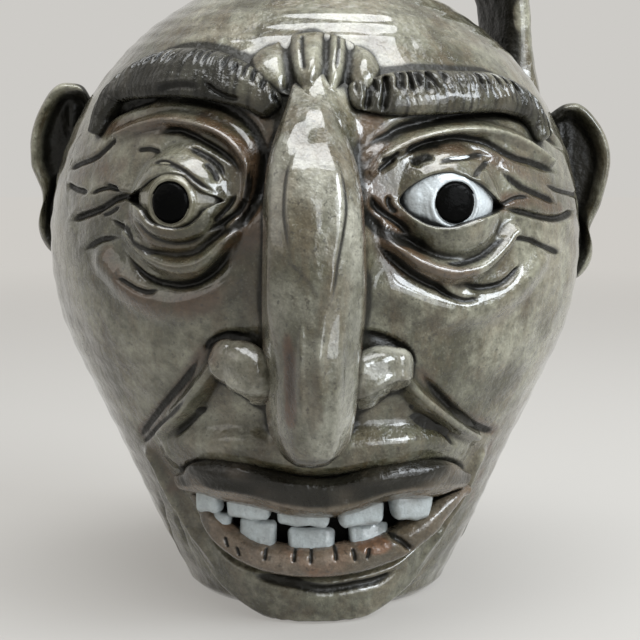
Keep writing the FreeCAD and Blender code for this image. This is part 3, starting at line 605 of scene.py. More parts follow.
def eye_surround(name, centre_of_ball, opening, outline):
    """Lids and folds round an eye: a ring from the edge of the opening to an outline on the wall."""
    scale = BELLY_RADIUS
    edge, rim = traced(opening, closed=True), traced(outline, closed=True)
    centre = (edge * (scale, 1)).mean(0)
    angles = np.linspace(-math.pi, math.pi, 721)

    def reaches(loop):
        """How far from the centre a loop lies at each of the angles."""
        path = loop * (scale, 1)
        path = np.vstack((path, path[:1]))
        reached = lengths(path)
        steps = np.linspace(0, 1, len(angles)) * reached[-1]
        path = np.column_stack([np.interp(steps, reached, path[:, axis]) for axis in (0, 1)]) - centre
        turn = np.arctan2(path[:, 1], path[:, 0])
        order = np.argsort(turn)
        turn, reach = turn[order], np.hypot(*path[order].T)
        turn = np.concatenate((turn - 2 * math.pi, turn, turn + 2 * math.pi))
        return np.interp(angles, turn, np.tile(reach, 3))

    near_reach, far_reach = reaches(edge), reaches(rim)
    # Steps round the ring, even along the opening's edge rather than in angle
    steps = np.column_stack((near_reach * np.cos(angles), near_reach * np.sin(angles)))
    sizes = np.hypot(*np.diff(steps, axis=0).T) + 0.45 * np.diff(angles) * far_reach[:-1]
    round_share = np.append(0, np.cumsum(sizes)) / sizes.sum()

    def place(u, v):
        turn = np.interp(u, round_share, angles)
        start, end = np.interp(turn, angles, near_reach), np.interp(turn, angles, far_reach)
        # Rows: up the inside of the lid, over its rim, out to the outline, and back behind
        reach = start + (end - start) * np.interp(v, (0, 0.05, 0.14, 0.90, 1), (0, 0, 0.045, 1, 0))
        from_edge = reach - start
        inner = np.clip(1 - v / 0.05, 0, 1)
        behind = np.clip((v - 0.9) / 0.1, 0, 1)
        azimuth = (centre[0] + reach * np.cos(turn)) / scale
        height = centre[1] + reach * np.sin(turn)
        out, marks = surface(azimuth, height)
        ball = over_ball(centre_of_ball, azimuth, height)[1]
        out = out - 0.9 * (1 - ease(from_edge / 1.2)) ** 2
        out = out * (1 - inner) + (ball - 1.0) * inner
        out = out - SUNK * ease((MARGIN - depth_inside(rim, azimuth, height)) / SUNK_OVER)
        turned = np.minimum(behind * 4, 1)
        out = np.where(behind > 0, out * (1 - turned) + np.minimum(ball - 1.6, -1.5) * turned, out)
        out = np.where(behind >= 1, ball - 1.0, out)
        # The lid's edge against the ball is marked dark: pooled glaze and painted shade
        marks["line"] = np.maximum(marks["line"], 0.9 * (1 - ease(from_edge / 0.5)))
        return in_space(azimuth, height, out), marks
    return skin(name, 380, 96, place)


# The openings of the eyes, and the outlines of what is round them: under the brows, by the nose, over the cheeks
OPENINGS = {
    "left": [(127, 198), (140, 188), (150, 180), (160, 176), (172, 175), (183, 178), (192, 186), (203, 193), (215, 197),
             (222, 201), (214, 204), (203, 210), (197, 217), (187, 225), (175, 228), (160, 226), (148, 221), (140, 210),
             (130, 202)],
    "right": [(400, 200), (408, 190), (418, 183), (430, 177), (440, 174), (452, 173), (462, 176), (472, 180),
              (482, 185), (492, 193), (502, 204), (505, 208), (492, 215), (482, 218), (470, 222), (458, 226),
              (445, 227), (432, 225), (420, 220), (410, 213), (403, 206)],
}
SURROUNDS = {
    "left": [(70, 150), (90, 118), (130, 100), (180, 92), (230, 96), (262, 118), (270, 160), (268, 215), (255, 262),
             (228, 296), (180, 318), (130, 316), (95, 290), (72, 240), (62, 195)],
    "right": [(358, 160), (366, 120), (400, 98), (450, 92), (510, 92), (550, 112), (576, 150), (582, 200), (570, 250),
              (545, 295), (500, 322), (440, 326), (395, 300), (368, 260), (356, 210)],
}
FIELD_STRIPS = {node: Strip(roll.line, half, MARGIN) for node, roll, half in (
    ("left_smile_fold", LEFT_FOLD, (6.0, 7.0, 7.0, 5.5)),
    ("right_smile_fold", RIGHT_FOLD, (6.0, 7.0, 7.0, 5.5)),
    ("muzzle", MUZZLE, (7.5, 11.5, 12.0, 11.5, 7.5)),
    ("chin", CHIN, (6.0, 9.0, 11.5, 12.0, 11.5, 9.0, 6.0)),
)}

# Rows of the jug's outline: six at the foot, then the outer wall, then the collar, the neck and the lip
FOOT_ROWS = 6
WALL_ROWS = 240
TOP_ROWS = 26
FACE_TOP = 175
BEHIND = math.radians(90)


def profile():
    """The jug's outline from the middle of its floor up the outside, over the lip and down the inside."""
    outside = [(0, 0), (20, 0), (36.2, 0), (38.2, 0.4), (39.4, 1.4), (40.7, 2.6)]
    outside += [(float(wall_radius(height)), height) for height in np.linspace(3.4, 183, WALL_ROWS)]
    collar = EQUATOR + 89.1
    outside += [(30 - 13 * math.cos(turn), collar - 13 * math.sin(turn)) for turn in np.linspace(1.25, 0, 9)]
    outside += [(NECK_RADIUS, height) for height in np.linspace(198, 214, 6)]
    outside += [(13.64 + 6 * math.cos(turn), 220 + 6 * math.sin(turn)) for turn in np.linspace(-0.98, 1.571, 12)]
    inside = [(12.6, 225.9), (11.2, 225.0), (BORE_RADIUS, 223.4), (BORE_RADIUS, 205), (BORE_RADIUS, 190), (14, 181),
              (30, 175.6)]
    inside += [(math.sqrt(max(75 ** 2 - (height - EQUATOR) ** 2, 0)), height) for height in np.linspace(170, 76, 28)]
    inside += [(67.98 - (75.3 - height) * 0.466, height) for height in np.linspace(70, 12, 12)] + [(36, 9), (0, 9)]
    return np.array(outside + inside)


def add_jug():
    """The thrown jug: dense rows and columns over the face, with the regions of the applied pieces sunk a little."""
    line = profile()
    wall_top = FOOT_ROWS + WALL_ROWS
    surrounds = [traced(SURROUNDS[side], closed=True) for side in SIDES]

    def shown(azimuth, height):
        """The face on the wall, sunk under the pieces that lie on it."""
        out, marks = surface(azimuth, height)
        ends = ease((BEHIND - np.abs(azimuth)) / 0.2) * ease((FACE_TOP - 3 - height) / 12)
        ends *= ease(height / 6)
        for outline in surrounds:
            out -= 1.4 * ease((depth_inside(outline, azimuth, height) - MARGIN) / 6)
        out -= 1.4 * ease(np.max([strip.depth(azimuth, height) for strip in FIELD_STRIPS.values()], 0) / 6)
        for centre in EYE_CENTRES.values():
            gap = over_ball(centre, azimuth, height)[0]
            out = np.where(gap < 18, out - 7.0 * ease((18 - gap) / 3), out)
        return out * ends, marks

    def place(u, v):
        row = v * (len(line) - 1)
        reach, height = (np.interp(row, np.arange(len(line)), line[:, axis]) for axis in (0, 1))
        azimuth = np.interp(u, (0, 0.10, 0.90, 1), (-math.pi, math.radians(-88), math.radians(88), math.pi))
        face = (row > 4) & (row < wall_top) & (np.abs(azimuth) < BEHIND) & (height < FACE_TOP)
        out, marks = np.zeros(len(u)), {"line": np.zeros(len(u)), "brown": np.zeros(len(u))}
        out[face], on_face = shown(azimuth[face], height[face])
        for mark, values in on_face.items():
            marks[mark][face] = values
        # The potter's spiral on the shoulder, and an uneven back
        turn = height / 3.6 + azimuth * 0.5 / math.pi
        rings = 0.16 * np.sin(turn * 2 * math.pi) * ease((height - 150) / 20) + 0.10 * np.sin(turn * 3.1)
        back = ease((np.abs(azimuth) - math.radians(80)) / 0.3)
        wave = 0.35 * noise(np.sin(azimuth) * 60, height, 31.0, 8) + 0.22 * np.sin(height * 0.62 + azimuth * 0.4)
        out += np.where((row > 5) & (row <= wall_top + TOP_ROWS), rings + back * wave * ease(height / 20), 0)
        reach = np.maximum(reach + out, 0) * (reach > 0)
        return np.column_stack((reach * np.sin(azimuth), -reach * np.cos(azimuth), height)), marks
    return skin("thrown_jug", 300, len(line) - 1, place)


def add_eyeball(side):
    """The ball with its pupil as a raised disc inside a ring, from a spin, turned to its gaze."""
    azimuth, height = EYE_CENTRES[side]
    points = [(0, 15.6), (2.2, 15.55), (4.0, 15.35), (4.8, 15.0), (5.2, 14.4), (PUPIL_EDGE, 14.1), (5.6, 14.35),
              (5.9, 14.65), (6.3, 14.6), (6.6, 14.2), (6.8, 13.75), (7.1, 13.5), (7.5, 13.3)]
    points += [(BALL_RADIUS * math.sin(turn), BALL_RADIUS * math.cos(turn))
               for turn in np.linspace(math.asin(7.9 / BALL_RADIUS), math.pi, 26)]
    clay = bmesh.new()
    start = [clay.verts.new((reach, -depth, 0)) for reach, depth in points]
    edges = [clay.edges.new(pair) for pair in zip(start, start[1:])]
    bmesh.ops.spin(clay, geom=start + edges, cent=(0, 0, 0), axis=(0, 1, 0), angle=2 * math.pi, steps=72,
                   use_merge=True)
    for vertex in clay.verts:
        if math.hypot(vertex.co.x, vertex.co.z) > 4.2:
            turn = math.atan2(vertex.co.z, vertex.co.x)
            vertex.co *= 1 + 0.004 * math.sin(3 * turn + azimuth * 9) + 0.003 * math.sin(7 * turn)
    gaze = azimuth + math.radians(GAZES[side])
    for angle, axis in ((math.radians(GAZE_DOWN), "X"), (gaze, "Z")):
        bmesh.ops.rotate(clay, cent=(0, 0, 0), matrix=mathutils.Matrix.Rotation(angle, 3, axis), verts=clay.verts[:])
    middle = (BALL_REACH * math.sin(azimuth), -BALL_REACH * math.cos(azimuth), height)
    bmesh.ops.translate(clay, vec=middle, verts=clay.verts[:])
    ball = finish_piece(f"{side}_ball_of_the_eye", clay)
    # The disc is the second finish's
    middle = mathutils.Vector(middle) * MM
    look = mathutils.Vector((math.sin(gaze), -math.cos(gaze), 0.0))
    for face in ball.data.polygons:
        offset = face.center - middle
        ahead = offset.dot(look)
        if ahead > 0 and (offset - look * ahead).length / MM < PUPIL_EDGE:
            face.material_index = 1
    return ball


def hair(arc, row, seed, pitch):
    """Combed grooves that run down, each a little crooked and some of them short, from 0 to 1."""
    bend = 0.8 * noise(row, arc, 4.0, seed) + 2.2 * noise(arc, row * 0.3, 8.0, seed + 1)
    wave = np.sin((arc + bend) / pitch * 2 * math.pi + 3.0 * noise(arc, row * 0.15, 3.4, seed + 2))
    patchy = ease(0.75 + 0.9 * noise(arc, row, 3.0, seed + 3))
    return np.clip(0.5 - 0.5 * wave, 0, 1) ** 2.4 * patchy


# Brows: pixels, half widths, a seed, where the combed part lies across, how dark it is painted, the left brow darker as
# painted shade, and the lines between the tufts
BROWS = {
    "left": ([(80, 130), (86, 116), (94, 102), (105, 89), (122, 79), (145, 73), (170, 71), (195, 73), (220, 79),
              (243, 88), (263, 102)], (1.6, 3.6, 5.4, 6.6, 6.9, 6.8, 6.4, 5.6, 3.4), 11, 0.74, 0.75, lifted(
                  (8, [(199, 80), (211, 90), (224, 96), (238, 98)], 1.2, 0.8, 0.5),
                  (8, [(143, 92), (160, 86), (182, 84), (197, 88)], 0.7, 1.2, 0.5))),
    "right": ([(366, 93), (385, 94), (410, 92), (440, 91), (470, 91), (500, 91), (520, 95), (537, 104), (549, 117),
               (557, 132)], (3.8, 5.6, 6.0, 6.0, 5.8, 5.6, 5.6, 5.2, 4.4, 3.0), 21, 0.5, 0.52, lifted(
                   (8, [(374, 72), (374, 92), (371, 112)], 2.2, 1.1),
                   (8, [(390, 69), (391, 92), (389, 114)], 2.2, 1.1),
                   (8, [(403, 68), (403, 90)], 1.6, 0.9),
                   (8, [(416, 68), (417, 92)], 1.6, 0.9),
                   (8, [(432, 69), (433, 93)], 1.5, 0.8))),
}


def add_brow(side):
    """A brow: a heavy roll that leans out over the eye, combed down its upper part."""
    points, half, seed, middle, darkness, lines = BROWS[side]

    def detail(azimuth, height, across):
        arc = azimuth * 75
        upper = ease((0.60 - np.abs(across - middle)) / 0.45)
        comb = hair(arc, height, seed, 3.3) * upper
        fine = hair(arc, height, seed + 5, 1.7) * (0.3 + 0.7 * upper)
        change = -1.9 * comb - 0.3 * fine + 0.25 * noise(arc, height, 4.0, seed + 7)
        pools = np.maximum(np.clip(comb * 0.9 + 0.3 * fine, 0, 1), press(lines, azimuth, height, change))
        brown = 0.6 * comb * ease(0.4 + noise(arc, height, 8.0, seed + 9)) + 0.25 * (1 - upper)
        # Painted shade: the brow is marked dark, the left one more, and darker in its combing
        dark = darkness + 0.25 * noise(arc, height, 9.0, seed + 8) + 0.5 * comb
        dark = dark + 0.3 * hair(arc, height * 0.5, seed + 15, 2.6)
        return change, {"line": pools, "brown": brown, "dark": dark}
    rise = (3.4, 5.2, 6.2, 6.6, 6.6, 6.4, 6.0, 4.2)
    return roll_piece(f"{side}_brow_roll", Strip(trace(points, 7), half), rise, 300, 80, 0.15, 0.7, detail, 0.3)


def add_crest():
    """The frown between the brows: four upright ridges with hollows between them."""
    strip = Strip(trace([(268, 68), (288, 65), (314, 64), (341, 65), (360, 69)], 4), (6.6, 8.8, 9.6, 8.8, 6.6))
    lines = lifted(
        (5, [(276, 12), (283, 40), (288, 70), (293, 96)], 3.6, 2.2, 0.0, 4.0, 1.0, 0.1),
        (5, [(329, 18), (327, 45), (325, 70), (322, 90)], 3.4, 1.8, 0.0, 4.0, 1.0, 0.1),
        (5, [(360, 14), (353, 40), (349, 70), (344, 98)], 3.6, 2.1, 0.0, 4.0, 1.0, 0.1),
        (5, [(301, 28), (302, 50), (305, 76)], 1.3, 0.9),
        (5, [(341, 28), (339, 50), (336, 72)], 0.9, 0.8))

    def detail(azimuth, height, across):
        change, arc = np.zeros(len(azimuth)), azimuth * 62
        pools = press(lines, azimuth, height, change)
        change += 0.3 * noise(arc, height, 4.0, 33)
        # The hollows between the ridges are marked dark: pooled glaze and painted shade
        return change, {"line": pools * 0.3, "brown": 0.3 * ease(noise(arc, height, 7.0, 34)), "dark": pools * 0.85}
    return roll_piece("frown_ridges", strip, (3.8, 5.4, 6.0, 5.4, 3.8), 130, 92, 0.0, 1.15, detail)


NOSE_LINES = lifted(
    (17, [(301, 140), (295, 150), (290, 160), (286, 175), (284, 195), (284, 215), (287, 235), (290, 255), (294, 270)],
     0.35, 0.6, 0.9, 5.0, 0.5, 0.3),
    (17, [(327, 135), (333, 150), (340, 165), (345, 185), (347, 205), (346, 220), (343, 235), (340, 250), (337, 265),
          (334, 285), (329, 303), (312, 310), (300, 300)], 0.45, 0.6, -1.0, 5.0, 0.6, 0.3),
    (22, [(291, 318), (290, 345), (291, 380), (293, 410), (296, 432)], 0.7, 2.0, 0.0, 4.0, 0.35, 0.4),
    (22, [(299, 345), (298, 380), (299, 420)], -0.4, 0.6, 0.0, 4.0, 0.0),
    (21, [(346, 310), (345, 350), (343, 390), (338, 425)], 0.3, 0.8, -0.7, 5.0, 0.3, 0.4),
    (23, [(283, 459), (292, 468), (305, 472), (318, 470), (329, 461)], 0.9, 1.0),
    (22, [(339, 258), (333, 288), (324, 325), (319, 360), (321, 395), (325, 428)], -1.0, 1.2, 0.0, 4.0, 0.0),
    (22, [(302, 318), (301, 345), (302, 380), (303, 420)], -0.7, 0.6, 0.0, 4.0, 0.0))

# Sections of the nose, across and out, by the share of the way round: the right side, front, left side and back
NOSE_ROUND = (-0.04, 0.0, 0.10, 0.20, 0.32, 0.46, 0.60, 0.72, 0.82, 0.92, 0.96, 1.0, 1.1)
NOSE_UPPER = ((0.70, 1.1, 1.28, 1.08, 0.62, 0.05, -0.45, -0.80, -1.06, -1.0, -0.2, 0.70, 1.28),
              (-0.8, -0.2, 0.08, 0.55, 0.92, 1.03, 0.97, 0.84, 0.20, -0.2, -1.0, -0.8, 0.08))
NOSE_LOWER = ((0.70, 1.0, 1.10, 0.90, 0.50, 0.15, -0.22, -0.60, -1.05, -1.0, -0.2, 0.70, 1.10),
              (-0.8, -0.2, 0.10, 0.60, 0.97, 1.03, 0.96, 0.66, 0.14, -0.2, -1.0, -0.8, 0.10))
# Stations of the nose from its root down: height, how far it stands out, and half its width
NOSE_STATIONS = np.array([
    (151, 1, 3.0), (147, 4.5, 4.2), (143, 8.2, 5.2), (139, 10.8, 6.6), (134, 13.2, 8.2), (128, 15.2, 9.6),
    (120, 16.8, 10.4), (108, 18.2, 10.7), (97, 19.4, 10.9), (85, 21.6, 11.2), (72, 25.6, 11.0), (66, 27.7, 10.5),
    (61, 28.5, 9.9), (57.6, 27.6, 9.0), (55.5, 25.0, 8.0), (54.4, 21.5, 7.2), (54, 16, 6.6), (54, 10, 6.4),
    (54, 4, 6.2), (54.2, -3, 5.6)])


def add_nose():
    """The nose: a long slab with facets that widens to its tip, over an underside painted dark as shade."""
    steps = lengths(NOSE_STATIONS[:, :2])

    def place(u, v):
        reach = u * steps[-1]
        height, top, half = (soft_table(reach, NOSE_STATIONS[:, axis], 1.6, steps) for axis in range(3))
        pole = np.clip(np.minimum(reach / 3, (steps[-1] - reach) / 3), 0, 1)
        half = half * np.sqrt(1 - (1 - pole) ** 2)
        lower = ease((100 - height) / 25)
        across, up = (soft_table(v, upper_plane, 0.022, NOSE_ROUND) * (1 - lower)
                      + soft_table(v, lower_plane, 0.022, NOSE_ROUND) * lower
                      for upper_plane, lower_plane in zip(NOSE_UPPER, NOSE_LOWER))
        height = height - 2.0 * (1 - across ** 2) * ease((64 - height) / 7) * np.clip(top / 20, 0, 1)
        out = np.where(up > 0, 2.0 + (top - 2.0) * up, 2.0 + 6.0 * up)
        out = np.where(top < 2, top + 2.0 * np.minimum(up, 0), out)
        azimuth = np.radians(np.interp(height, (50, 75, 110, 150), (-1.7, -1.0, -1.0, -1.8)))
        azimuth = azimuth + across * half / wall_radius(height)
        arc, change = azimuth * FACE_WALL, np.zeros(len(u))
        pools = press(NOSE_LINES, azimuth, height, change)
        change += 0.22 * noise(arc, height, 9.0, 41)
        change += 1.1 * noise(arc, height, 7.0, 43) * ease((height - 124) / 10)
        front = np.clip(up * 1.6 - 0.4, 0, 1) * np.clip((height - 55.5) / 4, 0, 1)
        # A brown strip down the nose's left side, also marked dark there as painted shade
        strip = np.exp(-((azimuth - np.radians(-3.9)) * FACE_WALL / 1.5) ** 2) * ease((92 - height) / 8)
        strip = strip * ease((height - 62) / 5)
        brown = np.maximum(np.maximum(0.75 * ease((0.75 - up) / 0.5), 0) * 0.8, 1.2 * strip)
        # Painted shade: the underside of the nose is marked dark
        pools = np.maximum(pools, ease((57.0 - height) / 1.6) * 0.9)
        marks = {"line": pools * np.clip(front + 0.4, 0, 1), "brown": brown, "dark": 0.35 * strip}
        return in_space(azimuth, height, out + change * front), marks
    return skin("nose_slab", 330, 110, place)


# Wings of the nose: a strip, a raised rim and the nostril's line
WINGS = {
    "left": (Strip(trace([(221, 366), (232, 369), (244, 376), (255, 387)], 10), (6.3, 7.4, 7.4, 6.4)), lifted(
        (11, [(205, 362), (212, 376), (226, 384), (242, 388), (256, 398)], -1.3, 1.4, 0.0, 4.0, 0.0),
        (10, [(222, 395), (238, 399), (250, 406)], 2.4, 1.5, 0.0, 4.0, 0.6))),
    "right": (Strip(trace([(402, 374), (390, 375), (376, 380), (363, 390)], 10), (6.2, 7.5, 7.8, 6.8)), lifted(
        (11, [(418, 380), (405, 379), (390, 380), (374, 386), (358, 399)], -1.4, 1.6, 0.0, 4.0, 0.0),
        (10, [(376, 407), (388, 400), (402, 398), (416, 402)], 1.8, 1.8, 0.0, 4.0, 0.8))),
}


def add_wing(side):
    """A wing of the nose."""
    strip, lines = WINGS[side]

    def detail(azimuth, height, across):
        arc = azimuth * 70
        change = 0.3 * noise(arc, height, 6.0, 51)
        pools = press(lines, azimuth, height, change)
        brown = 0.7 * ease(0.6 + noise(arc, height, 9.0, 52)) * ease((height - 74) / 4)
        return change, {"line": pools, "brown": brown}
    return roll_piece(f"{side}_wing_of_the_nose", strip, (8.6, 11.0, 12.4, 12.6), 130, 84, 0.3, 1.0, detail)


# Lips: a strip and its rises, and lines: the raised rim of the upper lip, and nicks in the lower one
UPPER_LIP = (
    Strip(trace([(168, 486), (181, 486), (196, 483), (218, 484), (243, 487), (268, 493), (295, 499), (325, 501),
                 (350, 497), (375, 489), (405, 483), (435, 482), (458, 483), (478, 484)], 9),
          (2.2, 4.8, 6.6, 7.0, 6.8, 6.5, 6.2, 6.2, 6.1, 6.0, 6.2, 6.2, 4.8, 2.2)),
    (5.0, 8.5, 10.6, 11.4, 11.8, 12.0, 11.8, 11.4, 10.6, 8.5, 5.0),
    lifted((12, [(180, 488), (196, 489), (215, 490), (241, 491), (268, 498), (295, 506), (326, 510), (345, 507),
                 (362, 501), (387, 493), (410, 489), (435, 487), (462, 484)], -1.1, 1.7, 0.0, 4.0, 0.0)))
LOWER_LIP = (
    Strip(trace([(182, 500), (201, 520), (220, 537), (242, 550), (268, 559), (300, 563), (333, 562), (366, 556),
                 (398, 545), (432, 524), (462, 504), (482, 493)], 9),
          (1.6, 3.1, 3.9, 4.4, 4.7, 4.9, 4.9, 4.8, 4.5, 4.0, 3.1, 1.6)),
    (4.0, 7.5, 10.5, 12.0, 12.6, 12.8, 12.8, 12.6, 12.0, 10.5, 7.5, 4.0),
    lifted(*((12, points, 1.1, 0.5) for points in (
        [(220, 538), (226, 550)], [(234, 547), (239, 558)], [(264, 549), (265, 562)], [(294, 549), (294, 564)],
        [(311, 548), (311, 565)], [(336, 548), (336, 562)], [(354, 549), (355, 562)], [(371, 548), (366, 560)])),
           (11, [(391, 535), (401, 541), (412, 550)], 1.8, 1.0)))


def add_lip(name, lip, seed, upper):
    """A lip: the upper one painted dark as shade under the nose, over a brown edge, the lower one brown with a rusty
    spot.
    """
    strip, rise, lines = lip

    def detail(azimuth, height, across):
        arc = azimuth * 60
        change = 0.3 * noise(arc, height, 7.0, seed)
        pools = press(lines, azimuth, height, change)
        brown = np.clip(0.35 + 0.35 * noise(arc, height, 6.0, seed + 1), 0, 1)
        dark = np.zeros(len(azimuth))
        if upper:
            # Painted shade: the upper lip is marked dark under the nose, most in the middle
            above = ease((across + 0.25) / 0.24)
            middle = 1 - ease((np.abs(azimuth + 0.02) - 0.35) / 0.3)
            dark = above * (0.3 + 0.65 * middle + 0.35 * noise(arc, height, 6.0, 66))
            brown *= 0.5 - 0.4 * above
        else:
            spot_gap = along(trace([(370, 545), (382, 545)], 11), azimuth, height)[0]
            brown = np.maximum(brown, 1.5 * np.exp(-(spot_gap / 2.4) ** 2))
        return change, {"line": pools, "brown": brown, "dark": dark}
    return roll_piece(name, strip, rise, 330, 64, 0.3, 0.85, detail)


def add_mouth():
    """The dark bed behind the teeth, near black as painted shade inside the mouth."""
    line = trace([(190, 497), (225, 512), (265, 524), (310, 530), (355, 526), (400, 513), (455, 494)], 6)
    strip = Strip(line, (2.5, 6.0, 8.0, 8.5, 8.0, 6.0, 2.5))
    return roll_piece("dark_of_the_mouth", strip, (2.0, 3.0, 3.4, 3.4, 3.4, 3.0, 2.0), 120, 40, 0.5)


# Teeth: the left and right ends, top and bottom of what shows, in pixels, and how far each leans, in degrees
UPPER_TEETH = [(196, 219, 488, 511, -4), (225, 271, 489, 518, 2), (274, 332, 494, 525, 0), (336, 386, 493, 524, -2),
               (389, 435, 486, 518, 6)]
LOWER_TEETH = [(238, 276, 519, 552, 4), (286, 336, 527, 556, 0), (349, 391, 523, 552, -5), (213, 229, 511, 535, 8)]
TOOTH_DEPTH = 5.6


def add_tooth(name, left, right, top, bottom, lean, lift, pointed, seed):
    """A tooth: a block with round corners, dented a little, on the wall's curve."""
    middle, level = (left + right) / 2, (top + bottom) / 2
    ends = spot([(left, level), (right, level), (middle, top), (middle, bottom)], lift)
    azimuth = (ends[0, 0] + ends[1, 0]) / 2
    radius = wall_scale(ends) + lift
    width = (ends[1, 0] - ends[0, 0]) * radius
    high, low = ends[2:, 1]
    tall = high - low
    clay = bmesh.new()
    bmesh.ops.create_cube(clay, size=1)
    bmesh.ops.scale(clay, vec=(width, TOOTH_DEPTH, tall), verts=clay.verts[:])
    bmesh.ops.bevel(clay, geom=clay.edges[:], offset=min(1.9, width * 0.36), segments=5, profile=0.5, affect="EDGES",
                    material=-1)
    bmesh.ops.subdivide_edges(clay, edges=clay.edges[:], cuts=2, use_grid_fill=True)
    tilt = np.random.default_rng(seed).uniform(-0.06, 0.06, 2)
    for vertex in clay.verts:
        x, y, z = vertex.co
        tip = max(0.5 - z / tall, 0) ** (1.5 if pointed else 1)
        x *= 1 - (0.34 * tip if pointed else 0.10 * tip)
        pillow = max(0, 1 - (2 * x / width) ** 2) * max(0, 1 - (2 * z / tall) ** 2)
        y += 0.2 * math.sin(x * 1.3 + seed) + tilt[0] * x * 2 + tilt[1] * z * 2 - (0.9 * pillow if y < 0 else 0)
        z += 0.3 * math.sin(x * 0.9 + seed * 2)
        vertex.co = (x, y, z)
    bmesh.ops.rotate(clay, cent=(0, 0, 0), matrix=mathutils.Matrix.Rotation(math.radians(lean), 3, "Y"),
                     verts=clay.verts[:])
    for vertex in clay.verts:
        x, y, z = vertex.co
        turn, reach = azimuth + x / radius, radius - 2.0 - y
        vertex.co = (reach * math.sin(turn), -reach * math.cos(turn), z + (high + low) / 2)
    return finish_piece(name, clay)


# Outlines of the ears as they stand out beside the eyes, from the top down
EARS = {
    "left": [(93, 104), (84, 87), (71, 83), (60, 84), (50, 92), (42, 105), (35, 121), (31, 138), (31, 155), (32, 167),
             (38, 181), (42, 191), (43, 203), (40, 215), (39, 227), (43, 240), (52, 252), (66, 258)],
    "right": [(550, 114), (563, 105), (575, 103), (584, 107), (593, 116), (602, 129), (608, 144), (610, 160),
              (608, 176), (603, 195), (599, 208), (592, 222), (589, 231), (592, 245), (591, 258), (585, 270),
              (575, 279), (564, 282)],
}
# Shares of an ear's rows: the hollow ends and the rim begins, the rim ends and the back begins
RIM_START, RIM_END = 0.62, 0.80
# Depths of an ear: the plane of its outline, its front and its back
EAR_PLANE = 5.0
EAR_FRONT = 4.6
EAR_BACK = 8.6


def add_ear(side):
    """An ear: a pinched sheet with a thick rim round a dark hollow and a fold in it, and a lobe below."""
    sign = -1 if side == "left" else 1
    edge = in_plane(smooth_line(EARS[side], 2.0), EAR_PLANE)
    root = np.column_stack((np.full(40, sign * 64.0), np.linspace(edge[-1, 1] + 2, edge[0, 1] - 2, 40)))
    loop = np.vstack((edge, root, edge[:1]))
    centre = np.array((sign * 73.0, edge[:, 1].mean() + 4))
    path = loop - centre
    reached = lengths(path)
    edge_share = reached[len(edge) - 1] / reached[-1]

    def place(u, v):
        x, z = (np.interp(u * reached[-1], reached, path[:, axis]) for axis in (0, 1))
        # Rows from the middle of the hollow out over the rim and back behind
        inward = np.interp(v, (0, RIM_START, RIM_END, 1), (0, 1, 1, 0))
        front, on_rim = v < 0.72, (v >= RIM_START) & (v <= RIM_END)
        from_rim = (1 - inward) * np.hypot(x, z)
        roll = np.exp(-(from_rim / 2.6) ** 2)
        raised = 2.6 * roll * ease(np.minimum(u / 0.04, (edge_share - u) / 0.04))
        back = EAR_BACK - 1.2 * roll
        y = np.where(front, EAR_FRONT - raised + 3.4 * ease((from_rim - 1.0) / 4.5), back)
        round_rim = np.interp(v, (RIM_START, 0.71, RIM_END), (0, 0.5, 1))
        y = np.where(on_rim, round_rim * (back - (EAR_FRONT - raised)) + EAR_FRONT - raised, y)
        grow = 1 - 0.06 * (1 - np.sin(np.interp(v, (RIM_START, RIM_END), (0, math.pi))) * on_rim)
        px, pz = centre[0] + x * inward * grow, centre[1] + z * inward * grow
        fold = np.exp(-(((px - sign * 76.5) / 2.6) ** 2 + ((pz - centre[1] - 8) / 8.0) ** 2))
        lobe = np.exp(-(((px - sign * 78.5) / 5.0) ** 2 + ((pz - edge[:, 1].min() - 9) / 6.0) ** 2))
        y = np.where(front, y - 2.6 * fold * (from_rim > 2) - 3.0 * lobe, y) + 0.3 * noise(px, pz, 5.0, 61)
        # The hollow is marked dark: pooled glaze and painted shade
        dark = np.where(front, ease((from_rim - 2.0) / 2.5) * (1 - 0.6 * fold) * (1 - lobe), 0)
        return np.column_stack((px, y, pz)), {"line": dark * 0.9, "brown": 0.4 * ease(noise(px, pz, 7.0, 62) + 0.2)}
    return skin(f"{side}_ear_sheet", 220, 60, place)


# Stations of the handle: reach, height, lean in degrees, half width and half thickness, and how far round it stands
HANDLE_STATIONS = np.array([
    (66.0, 143.0, 0, 17.5, 9.5), (66.0, 153.0, 0, 15.8, 8.0), (66.0, 160, 0, 14.4, 6.4), (66.0, 168, 0, 13.3, 5.0),
    (66.0, 176, 0, 13.0, 4.75), (65.0, 183.2, 15, 13, 4.7), (62.25, 190, 30, 13, 4.7), (57.8, 195.8, 45, 13, 4.7),
    (52, 200.25, 60, 13, 4.7), (45.2, 203, 75, 13, 4.75), (38, 204, 90, 13.2, 4.8), (28, 204, 90, 13.8, 5.0),
    (18, 204, 90, 14.3, 5.3), (13.4, 204, 90, 14.3, 5.3)])
HANDLE_TURN = math.radians(112)


